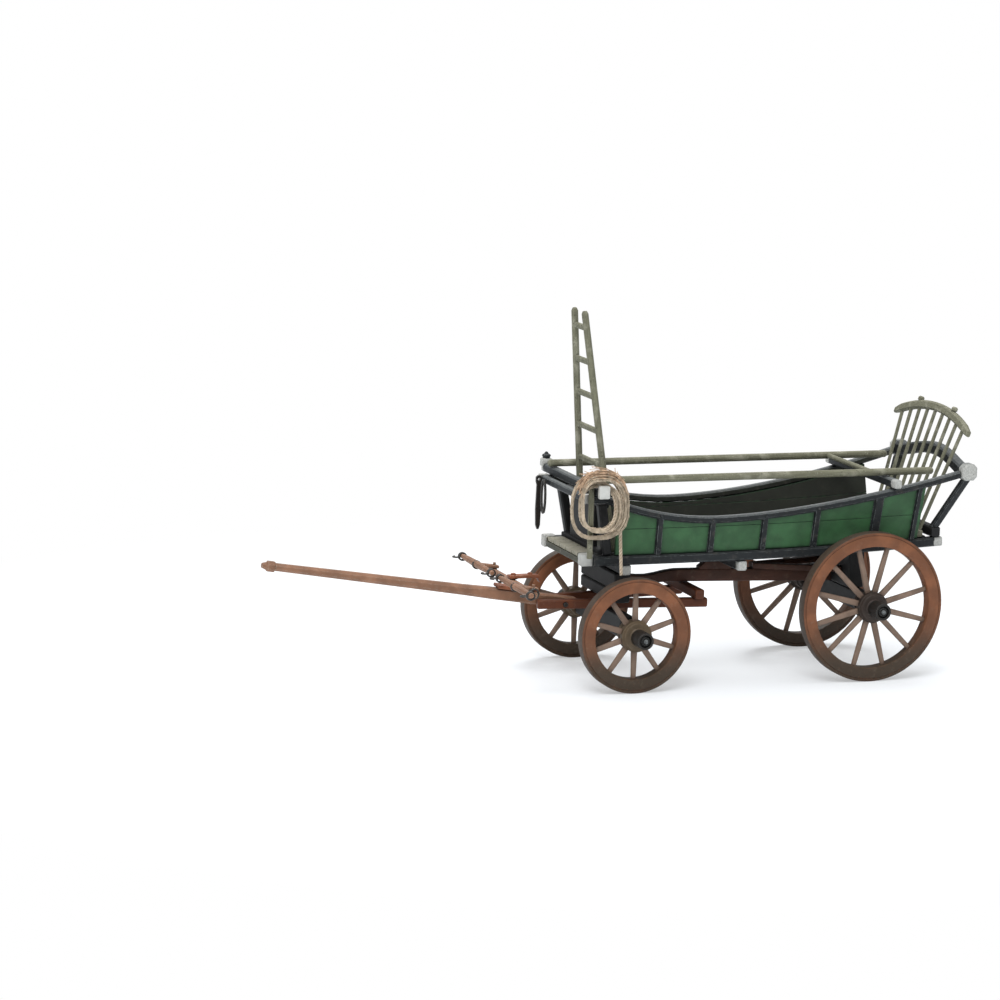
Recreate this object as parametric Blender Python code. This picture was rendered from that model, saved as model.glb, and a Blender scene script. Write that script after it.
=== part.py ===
"""Model hay wagon, 1:87: boat-shaped bed on a perch, steering forecarriage and a pole for a pair.

The front is -X, the left side is -Y and +Z is up. The wheels stand on z = 0.
Lengths are in metres. They are written as millimetres of the model, times MM.
"""
import math

import bmesh
import bpy
from mathutils import Matrix, Vector

MM = 0.001

# Clearances between pieces
SEAT = 0.04 * MM
RUN = 0.06 * MM

# Wheels and axles
FRONT_WHEEL_RADIUS = 5.05 * MM
REAR_WHEEL_RADIUS = 6.7 * MM
FRONT_SPOKES = 10
REAR_SPOKES = 12
WHEELBASE = 22.4 * MM
TRACK_OVER_TYRES = 16.0 * MM
TYRE_WIDTH = 1.15 * MM
TYRE_THICKNESS = 0.24 * MM
FELLOE_DEPTH = 1.0 * MM
SPOKE_WIDTH = 0.56 * MM
SPOKE_THICKNESS = 0.46 * MM
HUB_RADIUS = 1.35 * MM
HUB_INNER_REACH = 1.7 * MM
NOSE_RADIUS = 0.74 * MM
NOSE_REACH = 1.75 * MM
AXLE_ARM_RADIUS = 0.36 * MM
AXLE_NUT_RADIUS = 0.46 * MM
AXLE_NUT_LENGTH = 0.3 * MM

# Stack over the front axle, from the axle up
AXLE_BED_WIDTH = 1.2 * MM
AXLE_BED_DROP = 0.65 * MM
FRONT_BED_RISE = 1.3 * MM
HOUND_HEIGHT = 0.8 * MM
HOUND_WIDTH = 0.75 * MM
SAND_BOARD_HEIGHT = 1.05 * MM
FRONT_BOLSTER_HEIGHT = 1.55 * MM
BOLSTER_WIDTH = 1.5 * MM
BOLSTER_HALF_LENGTH = 4.2 * MM
CROSS_BEAM_SIZE = 0.9 * MM
KING_PIN_RADIUS = 0.32 * MM

# Forecarriage
HOUND_FRONT_X = -6.7 * MM
HOUND_REAR_X = 8.5 * MM
HOUND_FRONT_SPREAD = 0.95 * MM
HOUND_REAR_SPREAD = 3.0 * MM
SWAY_BAR_X = 7.5 * MM
SWAY_BAR_HALF_LENGTH = 3.9 * MM
SWAY_BAR_SIZE = 0.85 * MM

# Pole, evener and swingletrees
POLE_PIN_X = -4.3 * MM
POLE_PIN_RADIUS = 0.2 * MM
POLE_TIP_X = -31.5 * MM
POLE_RISE = 4.2 * MM
POLE_ROOT_HALF = 0.5 * MM
POLE_TIP_HALF = 0.33 * MM
POLE_TAIL_LENGTH = 1.6 * MM
POLE_SQUARE_LENGTH = 6.2 * MM
POLE_ROUND_FROM = 9.0 * MM
POLE_RING_BACK = 1.1 * MM
POLE_RING_WIDTH = 0.6 * MM
PLATE_LENGTH = 3.6 * MM
PLATE_WIDTH = 1.5 * MM
PLATE_THICKNESS = 0.3 * MM
EVENER_X = -8.9 * MM
EVENER_HALF_LENGTH = 5.9 * MM
EVENER_WIDTH = 0.75 * MM
EVENER_THICKNESS = 0.5 * MM
EVENER_BOLT_RADIUS = 0.26 * MM
SWINGLETREE_AHEAD = 1.7 * MM
SWINGLETREE_HALF_LENGTH = 4.4 * MM
SWINGLETREE_RADIUS = 0.33 * MM
SWINGLETREE_INSET = 0.75 * MM

# Perch and rear gear
PERCH_WIDTH = 1.0 * MM
PERCH_HEIGHT = 0.9 * MM
PERCH_BLOCK_LENGTH = 3.4 * MM
PERCH_BLOCK_HEIGHT = 0.4 * MM
PERCH_SWEEP = 5.0 * MM
PERCH_FALL_X = 13.0 * MM
MID_BEAM_X = 10.85 * MM
CROSS_BEAM_HALF_LENGTH = 5.3 * MM
FRONT_BEAM_X = -0.1 * MM
REAR_BED_RISE = 1.0 * MM
REAR_HOUND_FRONT_X = 13.9 * MM
REAR_HOUND_SPREAD = 2.6 * MM
REAR_HOUND_WIDTH = 0.6 * MM
REAR_HOUND_HEIGHT = 0.55 * MM

# Bed
BED_FRONT_X = -2.2 * MM
PLANK_FRONT_X = -1.1 * MM
BED_REAR_X = 27.7 * MM
SILL_FRONT_X = -3.2 * MM
SILL_REAR_X = 30.1 * MM
SILL_WIDTH = 0.65 * MM
SILL_HEIGHT = 0.8 * MM
SILL_LEVEL_X = 4.0 * MM
SILL_RISE = 0.67 * MM
SIDE_FOOT_HALF_WIDTH = 5.05 * MM
SIDE_LEAN_FRONT = 0.09
SIDE_LEAN_REAR = 0.29
PLANK_THICKNESS = 0.34 * MM
LOWER_PLANK_HEIGHT = 2.3 * MM
FLOOR_THICKNESS = 0.5 * MM
FLOOR_BOARDS = 6
FLOOR_GROOVE = 0.1 * MM

# Sheer of the sides: the height of the top rail over the sill
SHEER_LOW_X = 8.0 * MM
SHEER_LOW_HEIGHT = 3.3 * MM
SHEER_FRONT_RISE = 2.0 * MM
SHEER_REAR_RISE = 3.8 * MM
TOP_RAIL_HEIGHT = 0.62 * MM
TOP_RAIL_WIDTH = 0.7 * MM
TOP_RAIL_FRONT_X = -3.75 * MM
RIB_PROUD = 0.3 * MM
RIB_WIDTH = 0.6 * MM
RIB_PITCH = 4.93 * MM
RIB_FIRST_X = 2.8 * MM
RIB_COUNT = 4
HEAVY_POST_X = 23.35 * MM
HEAVY_POST_WIDTH = 0.95 * MM

# Front gate, crossbars and footboard
GATE_THICKNESS = 0.36 * MM
GATE_HALF_WIDTH = 2.9 * MM
GATE_RAIL_HEIGHT = 0.45 * MM
CORNER_POST_SIZE = 0.8 * MM
CORNER_POST_FOOT_BACK = 0.44 * MM
CORNER_POST_TOP_FORWARD = 0.33 * MM
CROSSBAR_X = -3.27 * MM
CROSSBAR_HALF_LENGTH = 7.45 * MM
CROSSBAR_SIZE = 0.74 * MM
REIN_BAR_HALF_LENGTH = 5.4 * MM
REAR_BAR_X = 24.6 * MM
FOOTBOARD_FRONT_X = -4.15 * MM
FOOTBOARD_HALF_LENGTH = 3.8 * MM
FOOTBOARD_THICKNESS = 0.36 * MM
FOOTBOARD_BOARDS = 5
BEARER_HALF_LENGTH = 4.7 * MM
BEARER_SIZE = 0.95 * MM
BEARER_X = -3.72 * MM
BEARER_PROUD = 0.17 * MM
STAKE_SIZE = 0.45 * MM
STAKE_TOP_OVER_BAR = 0.25 * MM

# Rear end
CROSSBEAM_X = 31.5 * MM
CROSSBEAM_HALF_LENGTH = 7.6 * MM
CROSSBEAM_DEPTH = 1.0 * MM
CROSSBEAM_HEIGHT = 1.05 * MM
CROSSBEAM_ARCH = 1.0 * MM
CROSSBEAM_END_SIZE = 1.45 * MM
REAR_LOW_BEAM_X = 29.45 * MM
REAR_LOW_BEAM_HALF_LENGTH = 5.5 * MM
REAR_POST_SIZE = 0.75 * MM

# Tail rack
RACK_SPINDLES = 9
RACK_FOOT_X = 28.1 * MM
RACK_FOOT_HALF = 4.6 * MM
RACK_TOP_HALF = 6.2 * MM
RACK_HEIGHT = 11.26 * MM
RACK_LEAN = math.radians(18.5)
RACK_ARCH = 1.0 * MM
RACK_RAIL_HALF_LENGTH = 7.4 * MM
RACK_RAIL_SIZE = 0.8 * MM
SPINDLE_RADIUS = 0.17 * MM
KNOB_RADIUS = 0.3 * MM
KNOB_OFFSET = 3.4 * MM

# Hay poles and their rod
HAY_POLE_SPREAD = 4.8 * MM
HAY_POLE_RADIUS = 0.33 * MM
HAY_POLE_FRONT_X = -3.95 * MM
HAY_POLE_REAR_X = 29.15 * MM
HAY_ROD_X = 23.2 * MM
HAY_ROD_RADIUS = 0.24 * MM

# Ladder, which leans on the front gate
LADDER_HEIGHT = 21.0 * MM
LADDER_TOP_HALF = 1.25 * MM
LADDER_FOOT_HALF = 3.9 * MM
LADDER_RAIL_RADIUS = 0.3 * MM
LADDER_LEAN = math.radians(6.4)
LADDER_RUNGS = 6
LADDER_RUNG_PITCH = 3.0 * MM
LADDER_RUNG_TOP_INSET = 1.5 * MM
LADDER_RUNG_SIZE = 0.34 * MM

# Irons that hang from the rein bar on the right side
STRAP_Y = 5.0 * MM
STRAP_LENGTH = 4.5 * MM
STRAP_WIDTH = 0.5 * MM
STRAP_THICKNESS = 0.2 * MM
LINK_Y = 3.7 * MM
LINK_LENGTH = 3.0 * MM
LINK_WIDTH = 0.95 * MM
LINK_WIRE = 0.12 * MM

# Rope on the front crossbar
ROPE_DIAMETER = 0.3 * MM
ROPE_PITCH = 0.74 * MM
ROPE_TURNS = 3
ROPE_TURN_POINTS = 24
ROPE_CENTRE_X = -3.6 * MM
ROPE_FIRST_Y = -6.56 * MM
ROPE_INNER_HALF_WIDTH = 1.45 * MM
ROPE_INNER_HALF_HEIGHT = 1.9 * MM
ROPE_SQUARENESS = 2.5
ROPE_OVER_BAR = 0.05 * MM
ROPE_TAIL_LENGTH = 5.2 * MM

# Heights that follow from the stack
AXLE_BED_TOP = FRONT_WHEEL_RADIUS + FRONT_BED_RISE
HOUND_MID_Z = AXLE_BED_TOP + SEAT + HOUND_HEIGHT / 2
SAND_BOARD_FOOT = HOUND_MID_Z + HOUND_HEIGHT / 2 + SEAT
SAND_BOARD_TOP = SAND_BOARD_FOOT + SAND_BOARD_HEIGHT
BOLSTER_FOOT = SAND_BOARD_TOP + RUN
BOLSTER_TOP = BOLSTER_FOOT + FRONT_BOLSTER_HEIGHT
KING_PIN_FOOT = AXLE_BED_TOP - 0.6 * MM
KING_PIN_TOP = BOLSTER_FOOT + FRONT_BOLSTER_HEIGHT * 0.5
CROSS_BEAM_MID_Z = BOLSTER_TOP + SEAT + CROSS_BEAM_SIZE / 2
SILL_FOOT = CROSS_BEAM_MID_Z + CROSS_BEAM_SIZE / 2 + SEAT
SILL_TOP = SILL_FOOT + SILL_HEIGHT
FLOOR_TOP = SILL_TOP
SEGMENTS = 12
RIM_SEGMENTS = 44
HUB_SEGMENTS = 20


def clear_scene():
    for item in list(bpy.data.objects):
        bpy.data.objects.remove(item, do_unlink=True)


def material(name, colour, roughness, metallic=0.0):
    made = bpy.data.materials.new(name)
    made.use_nodes = True
    shader = made.node_tree.nodes["Principled BSDF"]
    shader.inputs["Base Color"].default_value = (*colour, 1.0)
    shader.inputs["Roughness"].default_value = roughness
    shader.inputs["Metallic"].default_value = metallic
    return made


def make_materials():
    return {
        "green": material("green_paint", (0.035, 0.13, 0.06), 0.6),
        "navy": material("blue_black_paint", (0.022, 0.028, 0.036), 0.6),
        "brown": material("red_brown_paint", (0.17, 0.055, 0.028), 0.6),
        "olive": material("olive_grey_wood", (0.13, 0.13, 0.09), 0.7),
        "plank": material("bare_grey_boards", (0.2, 0.2, 0.15), 0.75),
        "iron": material("dark_iron", (0.05, 0.045, 0.042), 0.5, 0.6),
        "rope": material("hemp_rope", (0.5, 0.38, 0.27), 0.9),
    }


def pivot(name, place, parent=None):
    """An empty on a joint's axis; the pieces that turn about it are its children."""
    empty = bpy.data.objects.new(name, None)
    bpy.context.scene.collection.objects.link(empty)
    empty["place"] = tuple(place)
    empty.empty_display_size = 1 * MM
    if parent is None:
        empty.location = place
    else:
        empty.parent = parent
        empty.location = Vector(place) - Vector(parent["place"])
    return empty


def add(name, mesh_data, finish, parent, smooth_angle=35):
    """Makes the named object of a mesh that is written in the wagon's own coordinates."""
    mesh = bpy.data.meshes.new(name)
    mesh_data.normal_update()
    mesh_data.to_mesh(mesh)
    mesh_data.free()
    mesh.transform(Matrix.Translation(-Vector(parent["place"])))
    mesh.shade_smooth()
    mesh.set_sharp_from_angle(angle=math.radians(smooth_angle))
    mesh.materials.append(finish)
    made = bpy.data.objects.new(name, mesh)
    bpy.context.scene.collection.objects.link(made)
    made.parent = parent
    return made


def octagon(width, height, chamfer):
    """A rectangle with its corners cut, as (across, up) points."""
    w = width / 2
    h = height / 2
    return [(w, chamfer - h), (w, h - chamfer), (w - chamfer, h), (chamfer - w, h),
            (-w, h - chamfer), (-w, chamfer - h), (chamfer - w, -h), (w - chamfer, -h)]


def circle(radius, count=SEGMENTS):
    return [(radius * math.cos(2 * math.pi * i / count), radius * math.sin(2 * math.pi * i / count))
            for i in range(count)]


def loft(rings, mesh_data=None):
    """Skins a list of point rings and closes both ends."""
    mesh_data = mesh_data or bmesh.new()
    loops = [[mesh_data.verts.new(point) for point in ring] for ring in rings]
    count = len(loops[0])
    for near, far in zip(loops, loops[1:]):
        for i in range(count):
            j = (i + 1) % count
            mesh_data.faces.new((near[i], near[j], far[j], far[i]))
    mesh_data.faces.new(list(reversed(loops[0])))
    mesh_data.faces.new(loops[-1])
    bmesh.ops.recalc_face_normals(mesh_data, faces=mesh_data.faces)
    return mesh_data


def ring_at(centre, across, up, section, scale=1.0):
    return [centre + across * (u * scale) + up * (v * scale) for u, v in section]


def sweep(points, sections, up_hint, mesh_data=None):
    """Lofts sections along points; up_hint says which way the sections stand."""
    points = [Vector(p) for p in points]
    rings = []
    for i, centre in enumerate(points):
        before = points[max(i - 1, 0)]
        after = points[min(i + 1, len(points) - 1)]
        along = (after - before).normalized()
        across = along.cross(Vector(up_hint)).normalized()
        up = across.cross(along).normalized()
        rings.append(ring_at(centre, across, up, sections[i]))
    return loft(rings, mesh_data)


def bar(start, end, width, height, chamfer, up_hint=(0, 0, 1), end_width=None, end_height=None,
        mesh_data=None):
    """A straight chamfered bar whose end faces are eased too; it may taper to end_width."""
    start = Vector(start)
    end = Vector(end)
    end_width = end_width or width
    end_height = end_height or height
    step = (end - start).normalized() * chamfer
    stations = [(start, width - chamfer, height - chamfer), (start + step, width, height),
                (end - step, end_width, end_height), (end, end_width - chamfer, end_height - chamfer)]
    points = [place for place, _, _ in stations]
    sections = [octagon(w, h, chamfer) for _, w, h in stations]
    return sweep(points, sections, up_hint, mesh_data)


def rod(start, end, radius, end_radius=None, rounded=0.0, count=SEGMENTS, mesh_data=None):
    """A round bar; rounded is the length of each eased end."""
    start = Vector(start)
    end = Vector(end)
    end_radius = end_radius or radius
    along = (end - start).normalized()
    stations = [(start, radius), (end, end_radius)]
    if rounded:
        stations = [(start, radius * 0.6), (start + along * rounded, radius),
                    (end - along * rounded, end_radius), (end, end_radius * 0.6)]
    up_hint = (0, 0, 1) if abs(along.z) < 0.9 else (1, 0, 0)
    return sweep([p for p, _ in stations], [circle(r, count) for _, r in stations], up_hint, mesh_data)


def turned(profile, centre, count, closed=True, mesh_data=None):
    """Revolves (radius, y) points about the Y axis through centre; a closed profile leaves a bore."""
    mesh_data = mesh_data or bmesh.new()
    centre = Vector(centre)
    loops = []
    for radius, y in profile:
        loops.append([mesh_data.verts.new(centre + Vector((
            radius * math.cos(2 * math.pi * i / count), y, radius * math.sin(2 * math.pi * i / count))))
            for i in range(count)])
    pairs = list(zip(loops, loops[1:]))
    if closed:
        pairs.append((loops[-1], loops[0]))
    for near, far in pairs:
        for i in range(count):
            j = (i + 1) % count
            mesh_data.faces.new((near[i], near[j], far[j], far[i]))
    if not closed:
        mesh_data.faces.new(list(reversed(loops[0])))
        mesh_data.faces.new(loops[-1])
    bmesh.ops.recalc_face_normals(mesh_data, faces=mesh_data.faces)
    return mesh_data


def boolean(target, cutter_mesh, operation):
    """Cuts or joins a mesh given in the target's own coordinates, with the exact solver."""
    mesh = bpy.data.meshes.new(target.name + "_tool")
    cutter_mesh.to_mesh(mesh)
    cutter_mesh.free()
    mesh.transform(Matrix.Translation(-Vector(target.parent["place"])))
    tool = bpy.data.objects.new(target.name + "_tool", mesh)
    bpy.context.scene.collection.objects.link(tool)
    tool.parent = target.parent
    tool.hide_render = True
    tool.display_type = "WIRE"
    change = target.modifiers.new(operation.lower(), "BOOLEAN")
    change.operation = operation
    change.solver = "EXACT"
    change.use_self = operation == "UNION"
    change.object = tool


def mirrored(side, x, y, z):
    """A point of the left or right side; y counts outwards from the middle."""
    return Vector((x, -y if side == "left" else y, z))


def make_wheel(name, x, radius, spokes, side, parent, finish):
    """Felloes, spokes and hub in wood, and the tyre shrunk round them."""
    out = -1 if side == "left" else 1
    rim = radius - TYRE_THICKNESS - SEAT / 2
    mid_y = out * (TRACK_OVER_TYRES - TYRE_WIDTH) / 2
    centre = Vector((x, mid_y, radius))
    half = TYRE_WIDTH / 2
    edge = 0.1 * MM
    inside = rim - FELLOE_DEPTH
    felloe = [(rim, -half), (rim, half), (inside + edge, half), (inside, half - edge),
              (inside, edge - half), (inside + edge, -half)]
    wheel = add(name + "_wheel", turned(felloe, centre, RIM_SEGMENTS), finish["brown"], parent)
    bore = AXLE_ARM_RADIUS + RUN
    inner = -out * HUB_INNER_REACH
    nose = out * (half + NOSE_REACH)
    face = out * (half + 0.35 * MM)
    hub = [(bore, inner), (HUB_RADIUS * 0.72, inner), (HUB_RADIUS * 0.85, inner + out * 0.5 * MM),
           (HUB_RADIUS, -out * half * 0.7), (HUB_RADIUS, out * half * 0.7), (HUB_RADIUS * 0.93, face),
           (NOSE_RADIUS, face + out * 0.12 * MM), (NOSE_RADIUS, nose - out * 0.1 * MM),
           (NOSE_RADIUS * 0.88, nose), (bore, nose)]
    core = turned(hub, centre, HUB_SEGMENTS)
    reach = rim - FELLOE_DEPTH * 0.6
    for i in range(spokes):
        angle = 2 * math.pi * (i + 0.5) / spokes
        way = Vector((math.cos(angle), 0, math.sin(angle)))
        start = centre + way * (HUB_RADIUS * 0.7)
        end = centre + way * reach
        sections = [octagon(SPOKE_WIDTH, SPOKE_THICKNESS, SPOKE_THICKNESS * 0.3),
                    octagon(SPOKE_WIDTH * 0.8, SPOKE_THICKNESS * 0.85, SPOKE_THICKNESS * 0.26)]
        sweep([start, end], sections, (0, 1, 0), core)
    boolean(wheel, core, "UNION")
    tyre = [(radius, edge - half), (radius, half - edge), (radius - edge, half),
            (radius - TYRE_THICKNESS, half), (radius - TYRE_THICKNESS, -half), (radius - edge, -half)]
    add(name + "_tyre", turned(tyre, centre, RIM_SEGMENTS), finish["iron"], parent)


def make_axle(name, x, radius, parent, finish, bed_rise):
    """An iron axle with turned arms and end nuts, and the wooden bed that it runs through."""
    nut_y = TRACK_OVER_TYRES / 2 + NOSE_REACH + RUN
    end_y = nut_y + AXLE_NUT_LENGTH
    half = [(AXLE_ARM_RADIUS, nut_y), (AXLE_NUT_RADIUS, nut_y), (AXLE_NUT_RADIUS, end_y - 0.08 * MM),
            (AXLE_NUT_RADIUS * 0.75, end_y)]
    profile = [(r, -y) for r, y in reversed(half)] + half
    axle = turned(profile, (x, 0, radius), SEGMENTS, closed=False)
    add(name + "_axle", axle, finish["iron"], parent)
    bed_end = (TRACK_OVER_TYRES - TYRE_WIDTH) / 2 - HUB_INNER_REACH - 0.15 * MM
    top = radius + bed_rise
    foot = radius - AXLE_BED_DROP
    mid = (top + foot) / 2
    bed = bar((x, -bed_end, mid), (x, bed_end, mid), AXLE_BED_WIDTH, top - foot, 0.1 * MM)
    made = add(name + "_axle_bed", bed, finish["navy"], parent)
    hole = rod((x, -bed_end - MM, radius), (x, bed_end + MM, radius), AXLE_ARM_RADIUS + SEAT)
    boolean(made, hole, "DIFFERENCE")
    return made


def hound_y(x):
    share = (x - HOUND_FRONT_X) / (HOUND_REAR_X - HOUND_FRONT_X)
    return HOUND_FRONT_SPREAD + share * (HOUND_REAR_SPREAD - HOUND_FRONT_SPREAD)


def pole_pin_hole():
    reach = HOUND_REAR_SPREAD + HOUND_WIDTH
    near = (POLE_PIN_X, -reach, HOUND_MID_Z)
    far = (POLE_PIN_X, reach, HOUND_MID_Z)
    return rod(near, far, POLE_PIN_RADIUS + SEAT)


def make_forecarriage(finish, steer):
    """Hounds, sway bar and sand board, which turn about the king pin with the front axle."""
    bed = make_axle("front", 0.0, FRONT_WHEEL_RADIUS, steer, finish, FRONT_BED_RISE)
    king_hole = rod((0, 0, KING_PIN_FOOT - RUN), (0, 0, AXLE_BED_TOP + MM), KING_PIN_RADIUS + RUN)
    boolean(bed, king_hole, "DIFFERENCE")
    for side in ("left", "right"):
        start = mirrored(side, HOUND_FRONT_X, hound_y(HOUND_FRONT_X), HOUND_MID_Z)
        end = mirrored(side, HOUND_REAR_X, hound_y(HOUND_REAR_X), HOUND_MID_Z)
        hound = bar(start, end, HOUND_WIDTH, HOUND_HEIGHT, 0.1 * MM)
        made = add(side + "_hound", hound, finish["brown"], steer)
        boolean(made, pole_pin_hole(), "DIFFERENCE")
    sway_z = HOUND_MID_Z + HOUND_HEIGHT / 2 + SEAT + SWAY_BAR_SIZE / 2
    sway = bar((SWAY_BAR_X, -SWAY_BAR_HALF_LENGTH, sway_z), (SWAY_BAR_X, SWAY_BAR_HALF_LENGTH, sway_z),
               SWAY_BAR_SIZE, SWAY_BAR_SIZE, 0.1 * MM)
    add("sway_bar", sway, finish["brown"], steer)
    pin_y = hound_y(POLE_PIN_X) + HOUND_WIDTH / 2 + 0.15 * MM
    pin = rod((POLE_PIN_X, -pin_y, HOUND_MID_Z), (POLE_PIN_X, pin_y, HOUND_MID_Z), POLE_PIN_RADIUS)
    add("pole_pin", pin, finish["iron"], steer)
    mid = (SAND_BOARD_FOOT + SAND_BOARD_TOP) / 2
    board = bar((0, -BOLSTER_HALF_LENGTH, mid), (0, BOLSTER_HALF_LENGTH, mid), BOLSTER_WIDTH,
                SAND_BOARD_HEIGHT, 0.12 * MM)
    made = add("sand_board", board, finish["navy"], steer)
    hole = rod((0, 0, SAND_BOARD_FOOT - MM), (0, 0, SAND_BOARD_TOP + MM), KING_PIN_RADIUS + RUN)
    boolean(made, hole, "DIFFERENCE")


def pole_frame():
    """Unit vectors along the pole, forwards, and square to it, upwards."""
    run = POLE_PIN_X - POLE_TIP_X
    angle = math.atan2(POLE_RISE, run)
    return Vector((-math.cos(angle), 0, math.sin(angle))), Vector((math.sin(angle), 0, math.cos(angle)))


def on_pole(ahead, y, up):
    """A point by its distance ahead of the pole pin, its side and its height over the pole's middle."""
    along, above = pole_frame()
    return Vector((POLE_PIN_X, 0, HOUND_MID_Z)) + along * ahead + Vector((0, y, 0)) + above * up


def make_pole(finish, pole):
    """A square root between the hounds that runs out to a round, ringed tip."""
    along, above = pole_frame()
    reach = (POLE_PIN_X - POLE_TIP_X) / -along.x
    ring = reach - POLE_RING_BACK
    ring_half = POLE_TIP_HALF * 1.35
    step = 0.1 * MM
    ring_end = ring + POLE_RING_WIDTH
    stations = [(-POLE_TAIL_LENGTH, POLE_ROOT_HALF * 0.85, 0.1),
                (2 * step - POLE_TAIL_LENGTH, POLE_ROOT_HALF, 0.2),
                (POLE_SQUARE_LENGTH, POLE_ROOT_HALF, 0.25), (POLE_ROUND_FROM, POLE_ROOT_HALF * 0.92, 0.55),
                (ring - step, POLE_TIP_HALF, 0.58), (ring, ring_half, 0.58),
                (ring_end, ring_half, 0.58), (ring_end + step, POLE_TIP_HALF, 0.58),
                (reach, POLE_TIP_HALF * 0.6, 0.58)]
    points = [on_pole(a, 0, 0) for a, _, _ in stations]
    sections = [octagon(2 * half, 2 * half, half * cut) for _, half, cut in stations]
    made = add("pole", sweep(points, sections, above), finish["brown"], pole)
    boolean(made, pole_pin_hole(), "DIFFERENCE")
    up = plate_mid()
    ahead = evener_ahead()
    plate = bar(on_pole(ahead - PLATE_LENGTH * 0.6, 0, up), on_pole(ahead + PLATE_LENGTH * 0.4, 0, up),
                PLATE_WIDTH, PLATE_THICKNESS, 0.06 * MM, above)
    add("pole_plate", plate, finish["brown"], pole)
    bolt_foot = up + PLATE_THICKNESS / 2 + SEAT
    bolt_top = evener_mid() + EVENER_THICKNESS / 2 + 0.12 * MM
    bolt = rod(on_pole(ahead, 0, bolt_foot), on_pole(ahead, 0, bolt_top), EVENER_BOLT_RADIUS)
    head = rod(on_pole(ahead, 0, bolt_top - 0.02 * MM), on_pole(ahead, 0, bolt_top + 0.18 * MM),
               EVENER_BOLT_RADIUS * 1.6)
    made = add("evener_bolt", bolt, finish["iron"], pole)
    boolean(made, head, "UNION")


def evener_ahead():
    along, _ = pole_frame()
    return (POLE_PIN_X - EVENER_X) / -along.x


def plate_mid():
    return POLE_ROOT_HALF + SEAT + PLATE_THICKNESS / 2


def evener_mid():
    return plate_mid() + PLATE_THICKNESS / 2 + RUN + EVENER_THICKNESS / 2


def swingletree_pivot(side):
    out = -1 if side == "left" else 1
    return on_pole(evener_ahead(), out * (EVENER_HALF_LENGTH - SWINGLETREE_INSET), evener_mid())


def make_evener(finish, evener):
    """The evener on the pole's bolt, with a pin for a swingletree near each end."""
    _, above = pole_frame()
    ahead = evener_ahead()
    mid = evener_mid()
    stations = [(-1, 0.6), (-0.94, 0.72), (0, 1), (0.94, 0.72), (1, 0.6)]
    points = [on_pole(ahead, y * EVENER_HALF_LENGTH, mid) for y, _ in stations]
    sections = [octagon(EVENER_WIDTH * k, EVENER_THICKNESS, 0.1 * MM) for _, k in stations]
    made = add("evener", sweep(points, sections, above), finish["brown"], evener)
    hole = rod(on_pole(ahead, 0, mid - MM), on_pole(ahead, 0, mid + MM), EVENER_BOLT_RADIUS + RUN)
    boolean(made, hole, "DIFFERENCE")
    pin_top = mid + EVENER_THICKNESS / 2 + 0.55 * MM
    pins = bmesh.new()
    for side in ("left", "right"):
        y = swingletree_pivot(side).y
        rod(on_pole(ahead, y, mid), on_pole(ahead, y, pin_top), 0.13 * MM, mesh_data=pins)
    boolean(made, pins, "UNION")


def make_swingletree(side, finish, parent):
    """A turned bar whose flat lug lies over the evener's end and turns on its pin."""
    _, above = pole_frame()
    y = swingletree_pivot(side).y
    ahead = evener_ahead()
    up = evener_mid() + EVENER_THICKNESS / 2 + RUN + 0.15 * MM
    middle = ahead + SWINGLETREE_AHEAD
    half = [(1, 0.55), (0.96, 0.75), (0.9, 0.62), (0.55, 0.85)]
    stations = [(-share, k) for share, k in half] + [(0, 1)] + list(reversed(half))
    points = [on_pole(middle, y + share * SWINGLETREE_HALF_LENGTH, up) for share, _ in stations]
    sections = [circle(SWINGLETREE_RADIUS * k, 10) for _, k in stations]
    made = add(side + "_swingletree", sweep(points, sections, above), finish["brown"], parent)
    lug = bar(on_pole(ahead - 0.4 * MM, y, up), on_pole(middle + 0.1 * MM, y, up), 0.62 * MM, 0.26 * MM,
              0.05 * MM, above)
    boolean(made, lug, "UNION")
    hole = rod(on_pole(ahead, y, up - MM), on_pole(ahead, y, up + MM), 0.13 * MM + RUN)
    boolean(made, hole, "DIFFERENCE")


def perch_mid(x):
    """The perch's middle: up in a sweep behind the bolster, level, then down to the rear bed."""
    low = BOLSTER_FOOT + PERCH_HEIGHT / 2 + SEAT
    high = CROSS_BEAM_MID_Z - CROSS_BEAM_SIZE / 2 - PERCH_BLOCK_HEIGHT - PERCH_HEIGHT / 2
    rear = REAR_WHEEL_RADIUS + REAR_BED_RISE + SEAT + PERCH_HEIGHT / 2
    if x < PERCH_FALL_X:
        share = min(max((x - BOLSTER_WIDTH / 2) / PERCH_SWEEP, 0), 1)
        return low + (high - low) * share * share * (3 - 2 * share)
    share = (x - PERCH_FALL_X) / (perch_rear() - PERCH_FALL_X)
    return high + (rear - high) * share


def perch_rear():
    return WHEELBASE + BOLSTER_WIDTH / 2


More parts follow.
